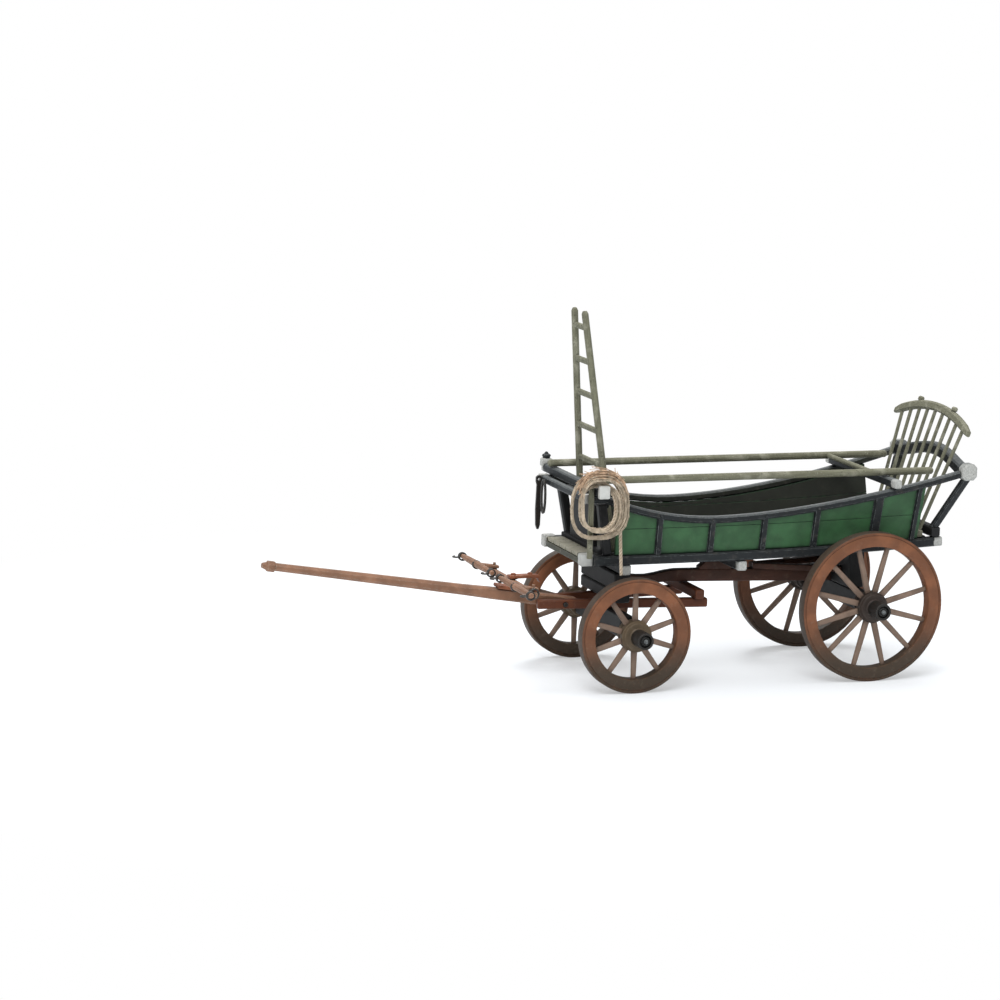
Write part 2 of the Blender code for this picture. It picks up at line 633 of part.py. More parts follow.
def make_running_gear(finish, wagon):
    """The king pin, the front bolster, and the perch with the block that carries the mid beam."""
    pin = rod((0, 0, KING_PIN_FOOT), (0, 0, KING_PIN_TOP), KING_PIN_RADIUS)
    add("king_pin", pin, finish["iron"], wagon)
    mid = (BOLSTER_FOOT + BOLSTER_TOP) / 2
    bolster = bar((0, -BOLSTER_HALF_LENGTH, mid), (0, BOLSTER_HALF_LENGTH, mid), BOLSTER_WIDTH,
                  FRONT_BOLSTER_HEIGHT, 0.12 * MM)
    made = add("front_bolster", bolster, finish["navy"], wagon)
    hole = rod((0, 0, BOLSTER_FOOT - MM), (0, 0, KING_PIN_TOP + SEAT), KING_PIN_RADIUS + SEAT)
    boolean(made, hole, "DIFFERENCE")
    front = BOLSTER_WIDTH / 2 + SEAT
    steps = 22
    xs = [front + (perch_rear() - front) * i / steps for i in range(steps + 1)]
    points = [(x, 0, perch_mid(x)) for x in xs]
    perch = sweep(points, [octagon(PERCH_WIDTH, PERCH_HEIGHT, 0.14 * MM)] * len(points), (0, 0, 1))
    made = add("perch", perch, finish["brown"], wagon)
    foot = perch_mid(MID_BEAM_X)
    top = CROSS_BEAM_MID_Z - CROSS_BEAM_SIZE / 2 - SEAT
    half = PERCH_BLOCK_LENGTH / 2
    rings = []
    for place, rise in ((-1, 0.62), (-0.8, 0.7), (-0.5, 1), (0.5, 1), (0.8, 0.7), (1, 0.62)):
        height = (top - foot) * rise
        rings.append([Vector((MID_BEAM_X - 0.5 * MM + half * place, u, foot + height / 2 + v))
                      for u, v in octagon(PERCH_WIDTH * 0.8, height, 0.06 * MM)])
    boolean(made, loft(rings), "UNION")


def make_rear_gear(finish, wagon):
    """The rear axle, the bolster notched over the perch, and the V of hounds laid on the perch."""
    make_axle("rear", WHEELBASE, REAR_WHEEL_RADIUS, wagon, finish, REAR_BED_RISE)
    foot = REAR_WHEEL_RADIUS + REAR_BED_RISE + SEAT
    top = SILL_FOOT + sill_lift(WHEELBASE - BOLSTER_WIDTH / 2) - SEAT
    mid = (foot + top) / 2
    bolster = bar((WHEELBASE, -BOLSTER_HALF_LENGTH, mid), (WHEELBASE, BOLSTER_HALF_LENGTH, mid),
                  BOLSTER_WIDTH, top - foot, 0.12 * MM)
    made = add("rear_bolster", bolster, finish["navy"], wagon)
    face = WHEELBASE - BOLSTER_WIDTH / 2
    half = PERCH_WIDTH / 2 + SEAT
    notch_top = perch_mid(face) + PERCH_HEIGHT / 2 + 2 * SEAT
    outline = ((half, foot - MM), (half, notch_top), (-half, notch_top), (-half, foot - MM))
    notch = loft([[Vector((x, y, z)) for y, z in outline] for x in (face - MM, perch_rear() + MM)])
    boolean(made, notch, "DIFFERENCE")
    lift = PERCH_HEIGHT / 2 + 2 * SEAT + REAR_HOUND_HEIGHT / 2
    end_x = face - 2 * SEAT
    arms = [bar((REAR_HOUND_FRONT_X, out * 0.12 * MM, perch_mid(REAR_HOUND_FRONT_X) + lift),
                (end_x, out * REAR_HOUND_SPREAD, perch_mid(end_x) + lift),
                REAR_HOUND_WIDTH, REAR_HOUND_HEIGHT, 0.08 * MM) for out in (-1, 1)]
    hounds = add("rear_hounds", arms[0], finish["brown"], wagon)
    boolean(hounds, arms[1], "UNION")


def sill_lift(x):
    """How far the sills, and what stands on them, curve up behind the front axle."""
    share = max(x - SILL_LEVEL_X, 0) / (SILL_REAR_X - SILL_LEVEL_X)
    return SILL_RISE * share ** 2


def sheer(x):
    """The top of a side's rail, which dips like a boat's."""
    low = SILL_TOP + SHEER_LOW_HEIGHT
    if x < SHEER_LOW_X:
        share = (SHEER_LOW_X - x) / (SHEER_LOW_X - BED_FRONT_X)
        return low + SHEER_FRONT_RISE * share ** 2
    share = (x - SHEER_LOW_X) / (CROSSBEAM_X - SHEER_LOW_X)
    return low + SHEER_REAR_RISE * share ** 1.7


def side_y(x, z):
    """The outer face of a side: its lean grows towards the rear."""
    share = (x - BED_FRONT_X) / (BED_REAR_X - BED_FRONT_X)
    lean = SIDE_LEAN_FRONT + (SIDE_LEAN_REAR - SIDE_LEAN_FRONT) * min(max(share, 0), 1)
    return SIDE_FOOT_HALF_WIDTH + (z - SILL_TOP) * lean


def plank(side, foot, top):
    """One board of a side, from foot(x) up to top(x)."""
    rings = []
    steps = 20
    for i in range(steps + 1):
        x = PLANK_FRONT_X + (BED_REAR_X - PLANK_FRONT_X) * i / steps
        low = foot(x)
        high = top(x)
        rings.append([mirrored(side, x, side_y(x, low), low), mirrored(side, x, side_y(x, high), high),
                      mirrored(side, x, side_y(x, high) - PLANK_THICKNESS, high),
                      mirrored(side, x, side_y(x, low) - PLANK_THICKNESS, low)])
    return loft(rings)


def make_side(side, finish, wagon):
    """Sill, two boards, and the frame of rail, ribs and posts that holds them."""
    y = SIDE_FOOT_HALF_WIDTH - SILL_WIDTH / 2 + RIB_PROUD
    mid = (SILL_FOOT + SILL_TOP) / 2
    steps = 16
    xs = [SILL_FRONT_X + (SILL_REAR_X - SILL_FRONT_X) * i / steps for i in range(steps + 1)]
    points = [mirrored(side, x, y, mid + sill_lift(x)) for x in xs]
    section = octagon(SILL_WIDTH + RIB_PROUD, SILL_HEIGHT, 0.12 * MM)
    sill = sweep(points, [section] * len(points), (0, 0, 1))
    add(side + "_sill", sill, finish["navy"], wagon)
    foot = SILL_TOP + SEAT
    joint = foot + LOWER_PLANK_HEIGHT
    lower = plank(side, lambda x: foot + sill_lift(x), lambda x: joint + sill_lift(x))
    upper = plank(side, lambda x: joint + SEAT + sill_lift(x), lambda x: sheer(x) - TOP_RAIL_HEIGHT - SEAT)
    add(side + "_lower_plank", lower, finish["green"], wagon)
    add(side + "_upper_plank", upper, finish["green"], wagon)
    rail_rear = CROSSBEAM_X - CROSSBEAM_END_SIZE / 2 - SEAT
    points = []
    steps = 26
    for i in range(steps + 1):
        x = TOP_RAIL_FRONT_X + (rail_rear - TOP_RAIL_FRONT_X) * i / steps
        z = rail_top(x) - TOP_RAIL_HEIGHT / 2
        points.append(mirrored(side, x, side_y(x, z) - PLANK_THICKNESS / 2 + RIB_PROUD / 2, z))
    rail = sweep(points, [octagon(TOP_RAIL_WIDTH, TOP_RAIL_HEIGHT, 0.14 * MM)] * len(points), (0, 0, 1))
    frame = add(side + "_side_frame", rail, finish["navy"], wagon)
    ribs = bmesh.new()
    places = [(RIB_FIRST_X + i * RIB_PITCH, RIB_WIDTH) for i in range(RIB_COUNT)]
    places += [(HEAVY_POST_X, HEAVY_POST_WIDTH), (BED_REAR_X - RIB_WIDTH, RIB_WIDTH * 0.8)]
    for x, width in places:
        low = foot + sill_lift(x + width / 2)
        high = rail_top(x) - TOP_RAIL_HEIGHT * 0.4
        rings = []
        for z in (low, high):
            inner = side_y(x, z) + SEAT
            outer = inner + RIB_PROUD * 0.85
            corners = ((-0.5, inner), (0.5, inner), (0.36, outer), (-0.36, outer))
            rings.append([mirrored(side, x + width * share, y, z) for share, y in corners])
        loft(rings, ribs)
    boolean(frame, ribs, "UNION")


def bar_mid():
    """The crossbars lie level; the rear one rests on the rising rails."""
    return sheer(REAR_BAR_X + CROSSBAR_SIZE / 2) + SEAT + CROSSBAR_SIZE / 2


def hay_pole_mid():
    return bar_mid() + CROSSBAR_SIZE / 2 + SEAT + HAY_POLE_RADIUS


def rail_top(x):
    """The rail follows the sheer and levels out under the front crossbar."""
    return min(sheer(x), bar_mid() - CROSSBAR_SIZE / 2 - SEAT) if x < SHEER_LOW_X else sheer(x)


def crossbar(name, x, mid, half_length, size, parent, finish):
    bar_mesh = bar((x, -half_length, mid), (x, half_length, mid), size, size, 0.12 * MM)
    return add(name, bar_mesh, finish, parent)


def make_floor(finish, wagon):
    """Long boards between the sills, marked by grooves along their joints."""
    half = SIDE_FOOT_HALF_WIDTH - SILL_WIDTH - SEAT
    front = BED_FRONT_X + CORNER_POST_SIZE / 2 + SEAT
    rear = REAR_LOW_BEAM_X - CROSS_BEAM_SIZE / 2 - SEAT
    top = []
    width = 2 * half / FLOOR_BOARDS
    for i in range(FLOOR_BOARDS):
        left = -half + i * width
        groove = 0 if i == 0 else FLOOR_GROOVE / 2
        top += [(left + groove, FLOOR_TOP)]
        last = i == FLOOR_BOARDS - 1
        top += [(left + width - (0 if last else FLOOR_GROOVE / 2), FLOOR_TOP)]
        if not last:
            top += [(left + width, FLOOR_TOP - FLOOR_GROOVE)]
    outline = [(-half, FLOOR_TOP - FLOOR_THICKNESS)] + top + [(half, FLOOR_TOP - FLOOR_THICKNESS)]
    steps = 12
    xs = [front + (rear - front) * i / steps for i in range(steps + 1)]
    floor = loft([[Vector((x, y, z + sill_lift(x))) for y, z in outline] for x in xs])
    add("floor", floor, finish["plank"], wagon, 20)


def make_gate(finish, wagon):
    """The front frame: two corner posts that lean with the sides, two rails and a middle board."""
    x = BED_FRONT_X
    foot = SILL_TOP + SEAT
    top = rail_top(x) - TOP_RAIL_HEIGHT - SEAT
    low_half = side_y(x, foot) - CORNER_POST_SIZE * 0.6
    high_half = side_y(x, top) - CORNER_POST_SIZE * 0.6
    board_top = top - GATE_RAIL_HEIGHT / 2
    rings = []
    for face in (x - GATE_THICKNESS / 2, x + GATE_THICKNESS / 2):
        rings.append([Vector((face, y, z)) for y, z in (
            (-GATE_HALF_WIDTH, foot), (GATE_HALF_WIDTH, foot),
            (GATE_HALF_WIDTH, board_top), (-GATE_HALF_WIDTH, board_top))])
    gate = add("front_gate", loft(rings), finish["navy"], wagon)
    frame = bmesh.new()
    for z, half in ((foot + GATE_RAIL_HEIGHT / 2, low_half), (board_top, high_half)):
        bar((x, -half, z), (x, half, z), CORNER_POST_SIZE, GATE_RAIL_HEIGHT, 0.08 * MM, mesh_data=frame)
    for side in ("left", "right"):
        bar(mirrored(side, x + CORNER_POST_FOOT_BACK, low_half, foot),
            mirrored(side, x - CORNER_POST_TOP_FORWARD, high_half, top), CORNER_POST_SIZE,
            CORNER_POST_SIZE, 0.12 * MM, (1, 0, 0), mesh_data=frame)
    boolean(gate, frame, "UNION")


def make_front(finish, wagon):
    """Crossbars over the rails' front ends, and the footboard on its bearer."""
    crossbar("front_crossbar", CROSSBAR_X, bar_mid(), CROSSBAR_HALF_LENGTH, CROSSBAR_SIZE, wagon,
             finish["navy"])
    rein_x = rein_bar_x()
    rein_mid = rail_top(CROSSBAR_X) - TOP_RAIL_HEIGHT / 2
    crossbar("rein_bar", rein_x, rein_mid, REIN_BAR_HALF_LENGTH, TOP_RAIL_HEIGHT, wagon, finish["navy"])
    bearer_mid = SILL_TOP - BEARER_SIZE / 2 + BEARER_PROUD
    bearer = crossbar("footboard_bearer", BEARER_X, bearer_mid, BEARER_HALF_LENGTH + RIB_PROUD,
                      BEARER_SIZE, wagon, finish["navy"])
    top = bearer_mid + BEARER_SIZE / 2 - FOOTBOARD_THICKNESS
    rear = BED_FRONT_X - CORNER_POST_SIZE / 2 - SEAT
    front = FOOTBOARD_FRONT_X
    reach = FOOTBOARD_HALF_LENGTH + SEAT
    notch = [(-reach, top - SEAT), (reach, top - SEAT), (reach, top + MM), (-reach, top + MM)]
    slot = loft([[Vector((x, y, z)) for y, z in notch] for x in (BEARER_X - MM, BEARER_X + MM)])
    boolean(bearer, slot, "DIFFERENCE")
    width = 2 * FOOTBOARD_HALF_LENGTH / FOOTBOARD_BOARDS
    outline = [(-FOOTBOARD_HALF_LENGTH, top)]
    upper = []
    for i in range(FOOTBOARD_BOARDS):
        left = -FOOTBOARD_HALF_LENGTH + i * width
        upper += [(left + (FLOOR_GROOVE / 2 if i else 0), top + FOOTBOARD_THICKNESS)]
        if i < FOOTBOARD_BOARDS - 1:
            upper += [(left + width - FLOOR_GROOVE / 2, top + FOOTBOARD_THICKNESS),
                      (left + width, top + FOOTBOARD_THICKNESS - FLOOR_GROOVE)]
        else:
            upper += [(left + width, top + FOOTBOARD_THICKNESS)]
    outline += upper + [(FOOTBOARD_HALF_LENGTH, top)]
    board = loft([[Vector((x, y, z)) for y, z in outline] for x in (front, rear)])
    add("footboard", board, finish["plank"], wagon, 20)


def rein_bar_x():
    return TOP_RAIL_FRONT_X - SEAT - TOP_RAIL_HEIGHT / 2


def make_stake(finish, wagon):
    """The upright with a rounded head in the corner of the front crossbar and the left rail."""
    x = CROSSBAR_X - CROSSBAR_SIZE / 2 - SEAT - STAKE_SIZE / 2
    rail_mid = rail_top(CROSSBAR_X) - TOP_RAIL_HEIGHT / 2
    rail_y = side_y(CROSSBAR_X, rail_mid) - PLANK_THICKNESS / 2 + RIB_PROUD / 2
    y = -(rail_y + TOP_RAIL_WIDTH / 2 + SEAT + STAKE_SIZE / 2)
    stake_foot = SILL_TOP + SEAT
    top = bar_mid() + CROSSBAR_SIZE / 2 + STAKE_TOP_OVER_BAR
    stations = [(stake_foot, 1), (top - 0.35 * MM, 1), (top - 0.12 * MM, 0.85), (top, 0.5)]
    points = [(x, y, z) for z, _ in stations]
    sections = [octagon(STAKE_SIZE * k, STAKE_SIZE * k, STAKE_SIZE * k * 0.25) for _, k in stations]
    add("front_stake", sweep(points, sections, (1, 0, 0)), finish["olive"], wagon)


def make_rear_end(finish, wagon):
    """The low beam on the sills, the arched crossbeam on the rails, and the slanted posts between."""
    low_mid = SILL_TOP + sill_lift(REAR_LOW_BEAM_X + CROSS_BEAM_SIZE / 2) + SEAT + CROSS_BEAM_SIZE / 2
    crossbar("rear_low_beam", REAR_LOW_BEAM_X, low_mid, REAR_LOW_BEAM_HALF_LENGTH, CROSS_BEAM_SIZE,
             wagon, finish["navy"])
    mid = crossbeam_mid()
    points = []
    sections = []
    span = CROSSBEAM_HALF_LENGTH
    end = CROSSBEAM_END_SIZE
    stations = [(-1, 0.8), (-0.985, 1), (-0.85, 1)]
    stations += [(-0.8 + 1.6 * i / 16, 0) for i in range(17)]
    stations += [(0.85, 1), (0.985, 1), (1, 0.8)]
    for share, boxed in stations:
        y = share * span
        arched = math.cos(math.pi / 2 * share / 0.8) if abs(share) < 0.8 else 0
        rise = CROSSBEAM_ARCH * max(0, arched) ** 1.2
        points.append((CROSSBEAM_X + rise * math.tan(RACK_LEAN), y, mid + rise))
        if boxed:
            sections.append(octagon(end * boxed, end * boxed, end * 0.22))
        else:
            sections.append(octagon(CROSSBEAM_DEPTH, CROSSBEAM_HEIGHT, 0.15 * MM))
    rings = [[Vector((x + u, y, z + v)) for u, v in section]
             for (x, y, z), section in zip(points, sections)]
    add("rear_crossbeam", loft(rings), finish["navy"], wagon)
    foot = low_mid + CROSS_BEAM_SIZE / 2 + SEAT
    head = mid - end / 2 - SEAT
    for side in ("left", "right"):
        start = mirrored(side, REAR_LOW_BEAM_X, REAR_LOW_BEAM_HALF_LENGTH - REAR_POST_SIZE * 0.55, foot)
        finish_at = mirrored(side, CROSSBEAM_X - 0.1 * MM, CROSSBEAM_HALF_LENGTH - end / 2, head)
        square = octagon(REAR_POST_SIZE, REAR_POST_SIZE, 0.12 * MM)
        rings = [ring_at(place, Vector((1, 0, 0)), Vector((0, 1, 0)), square)
                 for place in (start, finish_at)]
        add(side + "_rear_post", loft(rings), finish["navy"], wagon)


def crossbeam_mid():
    return sheer(CROSSBEAM_X - CROSSBEAM_DEPTH / 2) - TOP_RAIL_HEIGHT * 0.25


def rack_frame():
    return Vector((math.sin(RACK_LEAN), 0, math.cos(RACK_LEAN)))


def rack_point(share, height):
    """A point of the rack's fan; share runs from -1 to 1 across it and height from 0 to 1 up it."""
    half = RACK_FOOT_HALF + (RACK_TOP_HALF - RACK_FOOT_HALF) * height
    rise = RACK_HEIGHT * height - RACK_ARCH * share * share * height
    floor = FLOOR_TOP + sill_lift(RACK_FOOT_X + RACK_RAIL_SIZE * 0.4)
    foot = Vector((RACK_FOOT_X, 0, floor + SEAT + RACK_RAIL_SIZE * 0.4))
    return foot + rack_frame() * rise + Vector((0, share * half, 0))


def make_tail_rack(finish, rack):
    """A fan of spindles between a foot rail on the floor and an arched head rail with two knobs."""
    above = rack_frame()
    across = Vector((0, 1, 0))
    square = across.cross(above)
    ends = RACK_RAIL_HALF_LENGTH / RACK_TOP_HALF
    count = 18
    rings = []
    for i in range(count + 1):
        share = ends * (2 * i / count - 1)
        size = RACK_RAIL_SIZE * (0.7 if i in (0, count) else 1)
        section = octagon(size * 0.75, size, size * 0.2)
        rings.append(ring_at(rack_point(share, 1), square, above, section))
    made = add("tail_rack", loft(rings), finish["olive"], rack)
    rest = bmesh.new()
    foot_half = RACK_FOOT_HALF + 0.4 * MM
    foot_mid = rack_point(0, 0)
    foot_size = RACK_RAIL_SIZE * 0.8
    bar(foot_mid - across * foot_half, foot_mid + across * foot_half, foot_size, foot_size, 0.1 * MM,
        mesh_data=rest)
    for i in range(RACK_SPINDLES):
        share = 2 * i / (RACK_SPINDLES - 1) - 1
        rod(rack_point(share, 0), rack_point(share, 1), SPINDLE_RADIUS, count=8, mesh_data=rest)
    for out in (-1, 1):
        share = out * KNOB_OFFSET / RACK_TOP_HALF
        base = rack_point(share, 1)
        profile = ((0.2, 0.5), (0.45, 0.5), (0.55, 1), (0.85, 1), (1.0, 0.6))
        points = [base + above * (RACK_RAIL_SIZE * up) for up, _ in profile]
        sweep(points, [circle(KNOB_RADIUS * r, 8) for _, r in profile], (1, 0, 0), rest)
    boolean(made, rest, "UNION")


def make_hay_poles(finish, poles):
    """Two round poles over the load, and the rod that spaces them."""
    z = hay_pole_mid()
    for side in ("left", "right"):
        pole = rod(mirrored(side, HAY_POLE_FRONT_X, HAY_POLE_SPREAD, z),
                   mirrored(side, HAY_POLE_REAR_X, HAY_POLE_SPREAD, z), HAY_POLE_RADIUS,
                   rounded=0.15 * MM)
        add(side + "_hay_pole", pole, finish["olive"], poles)
    reach = HAY_POLE_SPREAD - HAY_POLE_RADIUS - SEAT
    spacer = rod((HAY_ROD_X, -reach, z), (HAY_ROD_X, reach, z), HAY_ROD_RADIUS)
    add("hay_pole_rod", spacer, finish["olive"], poles)


def ladder_frame():
    return Vector((-math.sin(LADDER_LEAN), 0, math.cos(LADDER_LEAN)))


def ladder_foot():
    """The ladder's middle at the floor, set back so that its rails lean on the gate's top edge."""
    gate_top = rail_top(BED_FRONT_X) - TOP_RAIL_HEIGHT - FLOOR_TOP
    back = BED_FRONT_X + CORNER_POST_SIZE / 2 + 2 * SEAT + LADDER_RAIL_RADIUS / math.cos(LADDER_LEAN)
    return Vector((back + gate_top * math.tan(LADDER_LEAN), 0, FLOOR_TOP + LADDER_RAIL_RADIUS * 0.3))


def make_ladder(finish, ladder):
    """Two tapering rails with flat rungs tenoned between them."""
    above = ladder_frame()
    across = Vector((0, 1, 0))
    foot = ladder_foot()
    head = foot + above * LADDER_HEIGHT
    rails = [rod(foot + across * out * LADDER_FOOT_HALF, head + across * out * LADDER_TOP_HALF,
                 LADDER_RAIL_RADIUS, rounded=0.25 * MM, count=10) for out in (-1, 1)]
    rest = rails[1]
    for i in range(LADDER_RUNGS):
        down = LADDER_RUNG_TOP_INSET + i * LADDER_RUNG_PITCH
        share = down / LADDER_HEIGHT
        half = LADDER_TOP_HALF + (LADDER_FOOT_HALF - LADDER_TOP_HALF) * share
        middle = head - above * down
        rings = [ring_at(middle + across * (out * half), above.cross(across), above,
                         octagon(LADDER_RUNG_SIZE, LADDER_RUNG_SIZE * 1.5, LADDER_RUNG_SIZE * 0.25))
                 for out in (-1, 1)]
        loft(rings, rest)
    made = add("ladder", rails[0], finish["olive"], ladder)
    boolean(made, rest, "UNION")


def iron_axis_x():
    return rein_bar_x() - TOP_RAIL_HEIGHT / 2 - 0.3 * MM


def iron_axis_z():
    return rail_top(CROSSBAR_X) - TOP_RAIL_HEIGHT / 2


def make_irons(finish, strap, link):
    """A tapered strap with an eye, and a wire link, that hang in front of the rein bar."""
    x = iron_axis_x()
    z = iron_axis_z()
    out = STRAP_THICKNESS / 2
    stations = [(0.35, 0.45), (0.2, 1.1), (-0.2, 1.1), (-0.5, 0.75), (-STRAP_LENGTH / MM * 0.6, 1.0),
                (-STRAP_LENGTH / MM * 0.92, 0.8), (-STRAP_LENGTH / MM, 0.3)]
    rings = [[Vector((x + u * STRAP_WIDTH * k, STRAP_Y + v, z + up * MM)) for u, v in
              ((0.5, -out), (0.5, out), (-0.5, out), (-0.5, -out))] for up, k in stations]
    made = add("strap_iron", loft(rings), finish["iron"], strap)
    hole = rod((x, STRAP_Y - MM, z), (x, STRAP_Y + MM, z), 0.12 * MM)
    boolean(made, hole, "DIFFERENCE")
    points = []
    count = 20
    for i in range(count + 1):
        angle = math.pi / 2 + math.radians(14) + (2 * math.pi - math.radians(28)) * i / count
        points.append((x, LINK_Y + LINK_WIDTH / 2 * math.cos(angle),
                       z - LINK_LENGTH / 2 + 0.2 * MM + LINK_LENGTH / 2 * math.sin(angle)))
    wire = sweep(points, [circle(LINK_WIRE, 6)] * len(points), (1, 0, 0))
    add("hanging_link", wire, finish["iron"], link)


def smooth_step(value, start, length):
    share = min(max((value - start) / length, 0), 1)
    return share * share * (3 - 2 * share)


def rope_point(turns):
    """The coil's middle line; each move to the next lane ends before the turn below begins its own."""
    step = 0.22
    lane = smooth_step(turns, 1 - step, step) - smooth_step(turns, 2, step)
    layer = smooth_step(turns, 1.5, step)
    half_width = ROPE_INNER_HALF_WIDTH + layer * ROPE_PITCH
    half_height = ROPE_INNER_HALF_HEIGHT + layer * ROPE_PITCH
    top = bar_mid() + CROSSBAR_SIZE / 2 + ROPE_OVER_BAR + ROPE_DIAMETER / 2
    middle_z = top - ROPE_INNER_HALF_HEIGHT
    angle = -2 * math.pi * turns
    c = math.cos(angle)
    s = math.sin(angle)
    power = 2 / ROPE_SQUARENESS
    x = ROPE_CENTRE_X + half_width * math.copysign(abs(c) ** power, c)
    z = middle_z + half_height * math.copysign(abs(s) ** power, s)
    return Vector((x, ROPE_FIRST_Y - lane * ROPE_PITCH, z))


def rope_route():
    """The turns over the crossbar; they begin and end at the rear, running down."""
    return [rope_point(i / ROPE_TURN_POINTS) for i in range(ROPE_TURN_POINTS * ROPE_TURNS + 1)]


def least_gap(points, diameter):
    """The least clear distance between parts of the rope that are not next to each other."""
    least = 1.0
    skip = ROPE_TURN_POINTS // 3
    for i, (a, b) in enumerate(zip(points, points[1:])):
        for c, d in list(zip(points, points[1:]))[i + skip:]:
            for s in (0.0, 0.5, 1.0):
                one = a.lerp(b, s)
                span = d - c
                t = min(max((one - c).dot(span) / span.length_squared, 0), 1)
                least = min(least, (one - (c + span * t)).length)
    return least - diameter


def rope_curve(name, points, resolution, finish, parent):
    curve = bpy.data.curves.new(name, "CURVE")
    curve.dimensions = "3D"
    curve.bevel_depth = ROPE_DIAMETER / 2
    curve.bevel_resolution = resolution
    curve.use_fill_caps = True
    curve.resolution_u = 1
    curve.render_resolution_u = 1
    spline = curve.splines.new("POLY")
    spline.points.add(len(points) - 1)
    for spot, point in zip(spline.points, points):
        spot.co = (*(point - Vector(parent["place"])), 1)
    curve.materials.append(finish)
    made = bpy.data.objects.new(name, curve)
    bpy.context.scene.collection.objects.link(made)
    made.parent = parent
    return made


def make_rope(finish, wagon):
    """One rope: a coil hung over the crossbar's left end, and the tail that drops from it."""
    coil = rope_route()
    leave = Vector((0, 0, -1))
    coil.append(coil[-1] + leave * ROPE_DIAMETER)
    rope_curve("rope_coil", coil, 1, finish["rope"], wagon)
    start = coil[-1] + leave * SEAT
    first = start + leave * ROPE_DIAMETER
    tail = [start, first]
    foot = first + Vector((0.25 * MM, 0.05 * MM, -ROPE_TAIL_LENGTH))
    pull = leave * 1.2 * MM
    for i in range(1, 9):
        t = i / 8
        a = first.lerp(first + pull, t)
        b = (first + pull).lerp(foot, t)
        tail.append(a.lerp(b, t))
    rope_curve("rope_tail", tail, 2, finish["rope"], wagon)
    length = sum((b - a).length for a, b in zip(coil, coil[1:]))
    length += sum((b - a).length for a, b in zip(tail, tail[1:]))
    print("rope: least gap %.3f mm, length %.2f mm" % (least_gap(coil, ROPE_DIAMETER) / MM, length / MM))


def centre_on_footprint(wagon):
    """Moves the model so that its origin is the middle of its footprint."""
    bpy.context.view_layer.update()
    xs = []
    for item in bpy.data.objects:
        if item.type == "MESH" and not item.hide_render:
            xs += [(item.matrix_world @ Vector(corner)).x for corner in item.bound_box]
    wagon.location.x = -(min(xs) + max(xs)) / 2
    bpy.context.view_layer.update()


def build():
    clear_scene()
    finish = make_materials()
    wagon = pivot("wagon", (0, 0, 0))
    steer = pivot("steer", (0, 0, SAND_BOARD_TOP), wagon)
    pole = pivot("pole_pitch", (POLE_PIN_X, 0, HOUND_MID_Z), steer)
    evener = pivot("evener_swing", on_pole(evener_ahead(), 0, evener_mid()), pole)
    make_forecarriage(finish, steer)
    make_pole(finish, pole)
    make_evener(finish, evener)
    for side in ("left", "right"):
        swing = pivot(side + "_swing", swingletree_pivot(side), evener)
        make_swingletree(side, finish, swing)
        y = (-1 if side == "left" else 1) * (TRACK_OVER_TYRES - TYRE_WIDTH) / 2
        hub = pivot("front_" + side + "_spin", (0, y, FRONT_WHEEL_RADIUS), steer)
        make_wheel("front_" + side, 0.0, FRONT_WHEEL_RADIUS, FRONT_SPOKES, side, hub, finish)
        hub = pivot("rear_" + side + "_spin", (WHEELBASE, y, REAR_WHEEL_RADIUS), wagon)
        make_wheel("rear_" + side, WHEELBASE, REAR_WHEEL_RADIUS, REAR_SPOKES, side, hub, finish)
        make_side(side, finish, wagon)
    make_running_gear(finish, wagon)
    make_rear_gear(finish, wagon)
    for name, x in (("front_cross_beam", FRONT_BEAM_X), ("mid_cross_beam", MID_BEAM_X)):
        crossbar(name, x, CROSS_BEAM_MID_Z, CROSS_BEAM_HALF_LENGTH, CROSS_BEAM_SIZE, wagon, finish["navy"])
    crossbar("rear_bar", REAR_BAR_X, bar_mid(), CROSSBAR_HALF_LENGTH, CROSSBAR_SIZE, wagon, finish["navy"])
    make_floor(finish, wagon)
    make_gate(finish, wagon)
    make_front(finish, wagon)
    make_stake(finish, wagon)
    make_rear_end(finish, wagon)
    make_tail_rack(finish, pivot("rack_lift", rack_point(0, 0), wagon))
    make_hay_poles(finish, pivot("hay_pole_lift", (HAY_ROD_X, 0, hay_pole_mid()), wagon))
    make_ladder(finish, pivot("ladder_lift", ladder_foot(), wagon))
    strap = pivot("strap_swing", (iron_axis_x(), STRAP_Y, iron_axis_z()), wagon)
    link = pivot("link_swing", (iron_axis_x(), LINK_Y, iron_axis_z()), wagon)
    make_irons(finish, strap, link)
    make_rope(finish, wagon)
    centre_on_footprint(wagon)
    for item in bpy.data.objects:
        if item.type == "EMPTY":
            place = item.matrix_world.translation / MM
            print(item.name, "at %.3f %.3f %.3f mm" % tuple(place))


build()
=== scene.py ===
"""Dresses the model hay wagon: worn paint, bare wood, irons, rope and a plain studio."""
import math
import random

import bmesh
import bpy
from bpy.props import FloatProperty, FloatVectorProperty, IntProperty, PointerProperty
from bpy.types import Operator, Panel, PropertyGroup
from mathutils import Matrix, Vector


